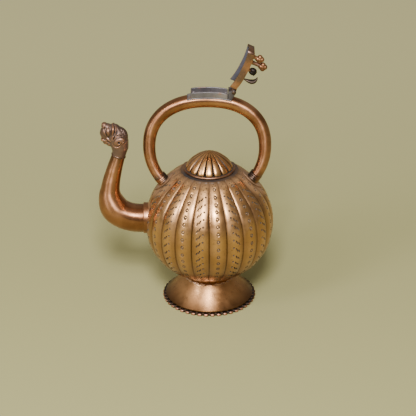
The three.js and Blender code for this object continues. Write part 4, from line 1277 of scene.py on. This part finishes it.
saddle_top = SADDLE_SEAT + SEAM + SADDLE_THICKNESS
saddle_low = saddle_top - SADDLE_DEPTH
filler_top = saddle_top + SEAM + FILLER_HEIGHT
filler_right = FILLER_LENGTH / 2


def clouds(material, scale, detail, low, high, least, most):
    """Cloudy patches over a finish, from least to most."""
    tree = material.node_tree
    return ranged(tree, mottle(tree, part_vector(material), scale, detail), low, high, least, most)


def upright_edge(one, other):
    return abs(one.z - other.z) > mm


def round_edges(piece, wanted, radius, segments):
    """Rounds the edges of a piece whose two ends are wanted together."""
    pick(piece, wanted, "EDGE")
    bpy.ops.mesh.bevel(offset=radius, segments=segments, affect="EDGES")
    close_mesh()


def drop_faces(piece, wanted):
    """Takes away the faces of a piece whose outward direction is wanted."""
    pick(piece, wanted, "FACE")
    bpy.ops.mesh.delete(type="FACE")
    close_mesh()


slate_patina = aged_metal("slate_patina", SLATE_BRIGHT, SLATE_DULL, gloss=0.36, stain=DARK_DULL, stains=0.4,
                          metal=0.6)
worn_through = clouds(slate_patina, scale=130, detail=3, low=0.56, high=0.7, least=0, most=0.55)
stain_and_shade_between(slate_patina, worn_through, COPPER_DULL)

saddle = bar("filler_plate", -half_saddle, half_saddle, saddle_low, saddle_top, SADDLE_WIDTH, columns=18)
bevelled(follow_arch(saddle), EDGE)
cut(saddle, slot_cutter())
hand_in(saddle, "filler_saddle", "slate_patina", slate_patina)

filler = bar("filler_wall", -filler_right, filler_right, saddle_top, filler_top, FILLER_WIDTH)
round_edges(filler, upright_edge, FILLER_CORNER, segments=5)
drop_faces(filler, lambda facing: abs(facing.z) > 0.5)
part_in_columns(filler, -filler_right + FILLER_CORNER, filler_right - FILLER_CORNER, columns=14)
walled(follow_arch(filler), FILLER_WALL)
bevelled(filler, EDGE)
hand_in(filler, "filler_collar", "slate_patina", slate_patina)


# Hinge
# Two ears of slate-grey sheet stand behind the filler collar and carry a pin with peened heads.
# The cap's tongue is rolled round the pin between them.

PIN_RADIUS = 1.05 * mm
PIN_CLEARANCE = 0.2 * mm
PIN_HEAD_LENGTH = 0.8 * mm
PIN_HEAD_RADIUS = 1.75 * mm
PIN_HOLE_LENGTH = 20 * mm
KNUCKLE_RADIUS = 2.3 * mm
TONGUE_WIDTH = 6.4 * mm
EAR_WIDTH = 2.4 * mm
EAR_EDGE = 0.4 * mm
EAR_STEP = 0.3 * KNUCKLE_RADIUS
LAP = 0.1 * mm

lid_hinge = frame["joints"][0]
pin_place = Vector(lid_hinge["pos_m"])
pin_across = pin_place.x - axis.x


def slab(name, outline, width):
    """A shape drawn point by point in the handle's plane, with an even width about that plane."""
    piece = drawn_line(name, [axis + Vector((across, -width / 2, height)) for across, height in outline])
    bpy.ops.mesh.remove_doubles(threshold=WELD)
    bpy.ops.mesh.edge_face_add()
    bpy.ops.mesh.extrude_region_move(TRANSFORM_OT_translate={"value": (0, width, 0)})
    tidy_skin()
    return piece


def round_the_pin(start, stop, steps=14):
    """Points of a knuckle about the pin, between two angles in degrees counted from +X towards +Z."""
    angles = [math.radians(start + (stop - start) * step / steps) for step in range(steps + 1)]
    return [(pin_across + KNUCKLE_RADIUS * math.cos(angle), pin_place.z + KNUCKLE_RADIUS * math.sin(angle))
            for angle in angles]


def over_arch(across, lift):
    """A point of an outline in the handle's plane, by its height over the arch."""
    return across, arch_height(across) + lift


def pin_hole(piece):
    bpy.ops.mesh.primitive_cylinder_add(vertices=32, radius=PIN_RADIUS + PIN_CLEARANCE, depth=PIN_HOLE_LENGTH)
    bore = bpy.context.object
    moved(bpy.ops.transform.rotate, value=math.pi / 2, orient_axis="X", center_override=(0, 0, 0))
    moved(bpy.ops.transform.translate, value=pin_place)
    cut(piece, bore)


lug_slate = aged_metal("lug_slate", SLATE_DULL, DARK_DULL, gloss=0.38, stain=PATINA_BLACK, metal=0.6)
wall_across = filler_right + SEAM
ear_seat = saddle_top + LAP
ear_middle = TONGUE_WIDTH / 2 + SEAM + EAR_WIDTH / 2
for side, hand in (("near", -1), ("far", 1)):
    ear = slab("hinge_lug_" + side, [
        over_arch(wall_across, ear_seat),
        over_arch(half_saddle, ear_seat),
        *round_the_pin(start=-50, stop=150),
        (wall_across, pin_place.z + EAR_STEP),
        over_arch(wall_across, ear_seat),
    ], EAR_WIDTH)
    moved(bpy.ops.transform.translate, value=(0, hand * ear_middle, 0))
    bevelled(ear, EAR_EDGE, angle=50)
    pin_hole(ear)
    hand_in(ear, "hinge_ear_" + side, "slate_patina", lug_slate, angle=30)

half_pin = ear_middle + EAR_WIDTH / 2 + SEAM
pin_head = [(PIN_HEAD_RADIUS * out, half_pin + PIN_HEAD_LENGTH * up) for out, up in arc(0, 90, 18)]
pin = turned("peened_pin", [
    (0, -half_pin - PIN_HEAD_LENGTH),
    *[(radius, -height) for radius, height in reversed(pin_head)],
    (PIN_RADIUS, -half_pin),
    (PIN_RADIUS, half_pin),
    *pin_head,
    (0, half_pin + PIN_HEAD_LENGTH),
], steps=32, centre=pin_place, along=Vector((0, 1, 0)), out=upright)
hand_in(pin, "hinge_pin", "dark_patina", dark_patina, angle=50)


# Cap over the filler
# A hood of sheet copper, with side walls and an end wall, that shuts over the filler collar.
# A strap is soldered along its top; the strap's tongue is rolled round the hinge pin.
# Each piece is modelled shut and then swung open about the pin, as the cap stands at rest.

CAP_CLEARANCE = 1.4 * mm
CAP_OVERHANG = 2.6 * mm
CAP_WALL = 1.2 * mm
CAP_SKIRT = 5.4 * mm
CAP_EDGE = 0.25 * mm
CAP_CORNER = FILLER_CORNER + CAP_WALL
CAP_TUBE_RADIUS = TUBE_RADIUS + 0.6 * mm
CAP_TUBE_INSET = 2 * mm
STRAP_WIDTH = 8.4 * mm
STRAP_THICKNESS = 0.8 * mm
STRAP_LENGTH = 13 * mm
STRAP_STEPS = 8
TONGUE_DROP = 0.6 * KNUCKLE_RADIUS
SLATE_BLUE = (0.10, 0.095, 0.125)
SLATE_BLACK = (0.05, 0.047, 0.06)

cap_under = filler_top + SEAM
cap_top = cap_under + CAP_WALL
cap_left = -filler_right - CAP_CLEARANCE - CAP_OVERHANG - CAP_WALL
cap_width = FILLER_WIDTH + 2 * (CAP_CLEARANCE + CAP_WALL)
open_turn = math.radians(lid_hinge["range_deg"][1] - lid_hinge["range_deg"][0])


def part_of_cap(piece, node, slot, *finishes, angle=35):
    """Swings a piece of the cap, modelled shut, open about the hinge pin and hands it in."""
    only(piece)
    moved(bpy.ops.transform.rotate, value=-open_turn, orient_axis="Y", center_override=pin_place)
    hand_in(piece, node, slot, *finishes, angle=angle, body=lid_hinge["child"])


cap_copper = aged_metal("cap_copper", COPPER_BRIGHT, COPPER_DULL, gloss=0.36, stain=DARK_DULL)
grey_streaks = clouds(cap_copper, scale=70, detail=4, low=0.4, high=0.66, least=0.1, most=0.7)
stain_and_shade_between(cap_copper, grey_streaks, SLATE_DULL)
cap_slate = aged_metal("cap_slate", SLATE_BLUE, SLATE_BLACK, gloss=0.4, stain=DARK_DULL, stains=0.4,
                       metal=0.5)

hood = bar("cap_hood", cap_left, filler_right, cap_under - CAP_SKIRT, cap_top, cap_width)
free_end = axis.x + cap_left + mm
round_edges(hood, lambda one, other: upright_edge(one, other) and one.x < free_end, CAP_CORNER, segments=6)
drop_faces(hood, lambda facing: facing.z < -0.5 or facing.x > 0.5)
part_in_columns(hood, cap_left + CAP_CORNER, filler_right, columns=18)
finish_with(follow_arch(hood), cap_copper, cap_slate)
walled(hood, CAP_WALL, inner_finish=1)
under_end = axis.x - filler_right + CAP_TUBE_INSET
over_tube = [place for place in handle_path if place.x < under_end and place.z > WIDEST_HEIGHT]
tube_room = drawn_tube("tube_room", over_tube, [CAP_TUBE_RADIUS] * len(over_tube), capped=True)
finish_with(tube_room, cap_copper, cap_slate)
cut(hood, tube_room)
bevelled(hood, CAP_EDGE, segments=2, angle=50)
part_of_cap(hood, "lid_shell", "aged_copper")

strap_low = cap_top + LAP
strap_top = strap_low + STRAP_THICKNESS
strap_left = pin_across - STRAP_LENGTH
tongue_left = filler_right + CAP_CLEARANCE
lap_length = filler_right - strap_left
strap_lap = [strap_left + lap_length * step / STRAP_STEPS for step in range(STRAP_STEPS + 1)]
strap = slab("cap_strap", [
    *[over_arch(across, strap_top) for across in strap_lap],
    *round_the_pin(start=90, stop=-150, steps=18),
    (tongue_left, pin_place.z - TONGUE_DROP),
    (tongue_left, arch_height(filler_right) + strap_low),
    *[over_arch(across, strap_low) for across in reversed(strap_lap)],
    over_arch(strap_left, strap_top),
], STRAP_WIDTH)
pick(strap, lambda place: place.x > axis.x + tongue_left - LAP)
bpy.ops.transform.resize(value=(1, TONGUE_WIDTH / STRAP_WIDTH, 1))
close_mesh()
bevelled(strap, CAP_EDGE, segments=2, angle=50)
pin_hole(strap)
part_of_cap(strap, "lid_strap", "aged_copper", cap_copper, angle=30)


# Floral spray on the cap
# A strip with stalks is soldered along the hood, and carries a curled leaf, a bud and two small flowers.
# All of them are cast copper, dark in the folds and worn bright on the petals.

STRIP_WIDTH = 5.6 * mm
STRIP_THICKNESS = 0.8 * mm
STALK_RADIUS = 1.3 * mm
STALK_ROOT = 0.6 * mm
STALK_TOP = 0.5 * mm
STALK_SWELL = [(0, 1.9), (0.15, 1.6), (0.4, 1.4), (0.75, 1.35), (1, 1.4)]
LEAF_HEIGHT = 12 * mm
LEAF_HOOK = 6.5 * mm
LEAF_THICKNESS = 2.6 * mm
LEAF_ROOT = 0.3 * mm
LEAF_STEPS = 24
LEAF_SPREAD = 1.5
LEAF_RADIUS = 0.72 * LEAF_THICKNESS
LEAF_LEAST, LEAF_SWELL, LEAF_SKEW, LEAF_TIP = 0.24, 0.86, 1.2, 0.12
LEAF_LINE = [(0, 0), (0.2 * LEAF_THICKNESS, 0.5 * LEAF_HEIGHT), (0.5 * LEAF_THICKNESS, 1.06 * LEAF_HEIGHT),
             (-LEAF_HOOK, LEAF_HEIGHT)]
BUD_RADIUS = 3.7 * mm
BUD_GAP = 4.8 * mm
BUD_LIFT = 1.6 * mm
BUD_GRAIN = 0.22 * mm
BUD_CORE, BUD_FOLD, BUD_TIP = (2.8, 2.8, 3.7), (2.2, 2.0, 3.4), (1.5, 1.5, 1.2)
FOLD_OUT, FOLD_ASIDE, FOLD_UP = 1.6 * mm, 1.3 * mm, -0.2 * mm
TIP_PLACE = Vector((2.4, 0, 1.6)) * mm
PETAL_RADIUS = 3.7 * mm
PETAL_COUNT = 4
PETAL_TURN = 0.3
PETAL_OUT = 0.53 * PETAL_RADIUS
FLOWER_CORE, FLOWER_PETAL = (2.9, 2.9, 2.9), (2.4, 2.6, 2.5)
PETAL_GRAIN = 0.2 * mm
PETAL_FOLD = 0.8 * mm
END_PETAL_LIFT = 2.4 * mm
UPPER_PETAL_LIFT = 7.6 * mm
PETAL_BRIGHT = (0.42, 0.21, 0.11)
PETAL_DULL = (0.20, 0.09, 0.045)

strip_top = cap_top + SEAM + STRIP_THICKNESS
strip_right = strap_left - SEAM
leaf_across = strip_right - LEAF_THICKNESS / 2
bud_reach = 1.1 * BUD_RADIUS
bud_across = leaf_across - LEAF_THICKNESS / 2 - BUD_GAP - bud_reach
upper_across = bud_across - bud_reach - SEAM - PETAL_RADIUS
petal_span = 2 * PETAL_RADIUS + SEAM
end_across = upper_across - math.sqrt(petal_span ** 2 - (UPPER_PETAL_LIFT - END_PETAL_LIFT) ** 2)
strip_left = end_across - PETAL_RADIUS


def on_strip(across, lift):
    """A place above the strip on the shut cap."""
    return axis + Vector((across, 0, arch_height(across) + strip_top + lift))


def stalk(across, lift):
    """A tapered stalk that swells into the strip at its foot."""
    path = [on_strip(across, lift * share - STALK_ROOT * (1 - share)) for share, swell in STALK_SWELL]
    drawn_tube("stalk", path, [STALK_RADIUS * swell for share, swell in STALK_SWELL], sides=16, capped=True)


strip = bar("spray_strip", strip_left, strip_right, cap_top + LAP, strip_top, STRIP_WIDTH, columns=16)
bevelled(follow_arch(strip), EDGE)
before = set(bpy.context.scene.objects) - {strip}
stalk(bud_across, BUD_LIFT + STALK_TOP)
stalk(upper_across, UPPER_PETAL_LIFT + STALK_TOP)
stalk(end_across, END_PETAL_LIFT + STALK_TOP)
part_of_cap(gathered("spray_stem", before), "spray_base", "aged_copper", cap_copper, angle=45)

leaf_foot = on_strip(leaf_across, -LEAF_ROOT)
leaf_corners = [leaf_foot + Vector((across, 0, up)) for across, up in LEAF_LINE]
leaf_line = interpolate_bezier(*leaf_corners, LEAF_STEPS + 1)
leaf_swell = [LEAF_LEAST + LEAF_SWELL * math.sin(math.pi * (step / LEAF_STEPS) ** LEAF_SKEW)
              for step in range(LEAF_STEPS)]
leaf_radii = [LEAF_RADIUS * share for share in (*leaf_swell, LEAF_TIP)]
leaf = drawn_tube("curled_leaf", leaf_line, leaf_radii, sides=20, capped=True)
moved(bpy.ops.transform.resize, value=(1, LEAF_SPREAD, 1), center_override=(0, 0, 0))
leaf_dark = aged_metal("leaf_dark", DARK_BRIGHT, DARK_DULL, gloss=0.5, stain=PATINA_BLACK)
part_of_cap(leaf, "spray_leaf", "dark_patina", leaf_dark, angle=60)

before = set(bpy.context.scene.objects)
bud_middle = on_strip(bud_across, BUD_LIFT + 0.9 * BUD_RADIUS)
lump(bud_middle, BUD_CORE)
for turn in (45, 135, 225, 315):
    angle = math.radians(turn)
    fold = Vector((FOLD_OUT * math.cos(angle), FOLD_ASIDE * math.sin(angle), FOLD_UP))
    lump(bud_middle + fold, BUD_FOLD)
lump(bud_middle + TIP_PLACE, BUD_TIP, lean=-30)
bud = melted(gathered("folded_bud", before), BUD_GRAIN, passes=2)
bud_black = aged_metal("bud_black", DARK_DULL, PATINA_BLACK, gloss=0.5, stain=PATINA_BLACK)
part_of_cap(bud, "spray_bud", "dark_patina", bud_black, angle=70)

flower_copper = aged_metal("flower_copper", PETAL_BRIGHT, PETAL_DULL, gloss=0.48, stains=0.4)
stain_and_shade_between(flower_copper, recess_share(flower_copper, low=0.45, high=0.7, most=0.95), PATINA_BROWN)
for name, node, across, lift in (("upper_flower", "spray_petal_upper", upper_across, UPPER_PETAL_LIFT),
                                 ("end_flower", "spray_petal_end", end_across, END_PETAL_LIFT)):
    before = set(bpy.context.scene.objects)
    middle = on_strip(across, lift + PETAL_RADIUS)
    lump(middle, FLOWER_CORE)
    for petal in range(PETAL_COUNT):
        angle = 2 * math.pi * petal / PETAL_COUNT + PETAL_TURN
        out = Vector((math.cos(angle), 0, math.sin(angle)))
        lump(middle + PETAL_OUT * out, FLOWER_PETAL, lean=-math.degrees(angle))
    flower = melted(gathered(name, before), PETAL_GRAIN, passes=2)
    note_recesses(flower, PETAL_FOLD, passes=16)
    part_of_cap(flower, node, "aged_copper", flower_copper, angle=70)


# Studio: pale floor, soft lights and the camera
# The camera stands in front of the handle's plane and looks down at the vessel through a long lens.

LOW_SKY, HIGH_SKY, DARK_SIDE = 0.5, 0.85, 0.75
SKY_COLOUR = (0.56, 0.52, 0.42, 1)
FLOOR_SIZE = 12
FLOOR_NEAR = (0.31, 0.29, 0.125)
FLOOR_FAR = (0.49, 0.46, 0.23)
CAMERA_DISTANCE = 30 * BOWL_RADIUS
CAMERA_RISE = 27.7
CAMERA_PITCH = 27.3
CAMERA_PAN = 0.042
CAMERA_LENS = 165.8
CAMERA_SENSOR = 36
AIM_HEIGHT = 80.8 * mm

bpy.ops.mesh.primitive_plane_add(size=FLOOR_SIZE)
floor = bpy.context.object
floor.name = "studio_floor"
paper = bpy.data.materials.new("studio_paper")
paper.use_nodes = True
tree = paper.node_tree
matt = tree.nodes["Principled BSDF"]
matt.inputs["Roughness"].default_value = 0.9
# Painted light on the floor: darker in front of and under the vessel, growing lighter behind it.
floor_falloff = ranged(tree, part_of_place(paper, "Y"), 0, 1, 0, 1)
feed(tree, matt.inputs["Base Color"], blend(tree, floor_falloff, FLOOR_NEAR, FLOOR_FAR))
finish_with(floor, paper)
floor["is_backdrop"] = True

world = bpy.data.worlds.new("studio")
bpy.context.scene.world = world
world.use_nodes = True
tree = world.node_tree
sky = tree.nodes["Background"]
sky.inputs["Color"].default_value = SKY_COLOUR
split = tree.nodes.new("ShaderNodeSeparateXYZ")
feed(tree, split.inputs["Vector"], tree.nodes.new("ShaderNodeTexCoord").outputs["Generated"])
upwards = ranged(tree, split.outputs["Z"], 0, 0.8, LOW_SKY, HIGH_SKY)
rightwards = ranged(tree, split.outputs["X"], -0.2, 0.9, 1, DARK_SIDE)
feed(tree, sky.inputs["Strength"], worked_out(tree, "MULTIPLY", upwards, rightwards))


def seen_from(turn, rise):
    """The direction from the vessel to a light or the camera, by its turn and rise in degrees."""
    turn, rise = math.radians(turn), math.radians(rise)
    return Vector((math.sin(turn) * math.cos(rise), -math.cos(turn) * math.cos(rise), math.sin(rise)))


def softbox(name, turn, rise, distance, width, height, power):
    """A soft light that faces the vessel, placed by its direction in degrees and its distance."""
    away = seen_from(turn, rise)
    bpy.ops.object.light_add(type="AREA", location=axis + upright * BOWL_CENTRE + away * distance)
    lamp = bpy.context.object
    lamp.name = name
    lamp.rotation_euler = away.to_track_quat("Z", "Y").to_euler()
    lamp.data.shape = "RECTANGLE"
    lamp.data.size = width
    lamp.data.size_y = height
    lamp.data.energy = power


softbox("front_light", turn=-2, rise=44, distance=2.3, width=0.5, height=0.5, power=78)
softbox("high_light", turn=-2, rise=55, distance=2.3, width=0.35, height=0.4, power=12)
softbox("left_light", turn=-52, rise=34, distance=1.8, width=0.4, height=0.9, power=16)

aimed_at = axis + upright * AIM_HEIGHT
bpy.ops.object.camera_add(location=aimed_at + seen_from(0, CAMERA_RISE) * CAMERA_DISTANCE)
camera = bpy.context.object
camera.rotation_euler = (math.radians(90 - CAMERA_PITCH), 0, math.radians(CAMERA_PAN))
camera.data.lens = CAMERA_LENS
camera.data.sensor_width = CAMERA_SENSOR
bpy.context.scene.camera = camera

bpy.context.view_layer.update()
sizes = {"cad": [list(corner) for corner in cad_box], "visual": [list(corner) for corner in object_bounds()]}
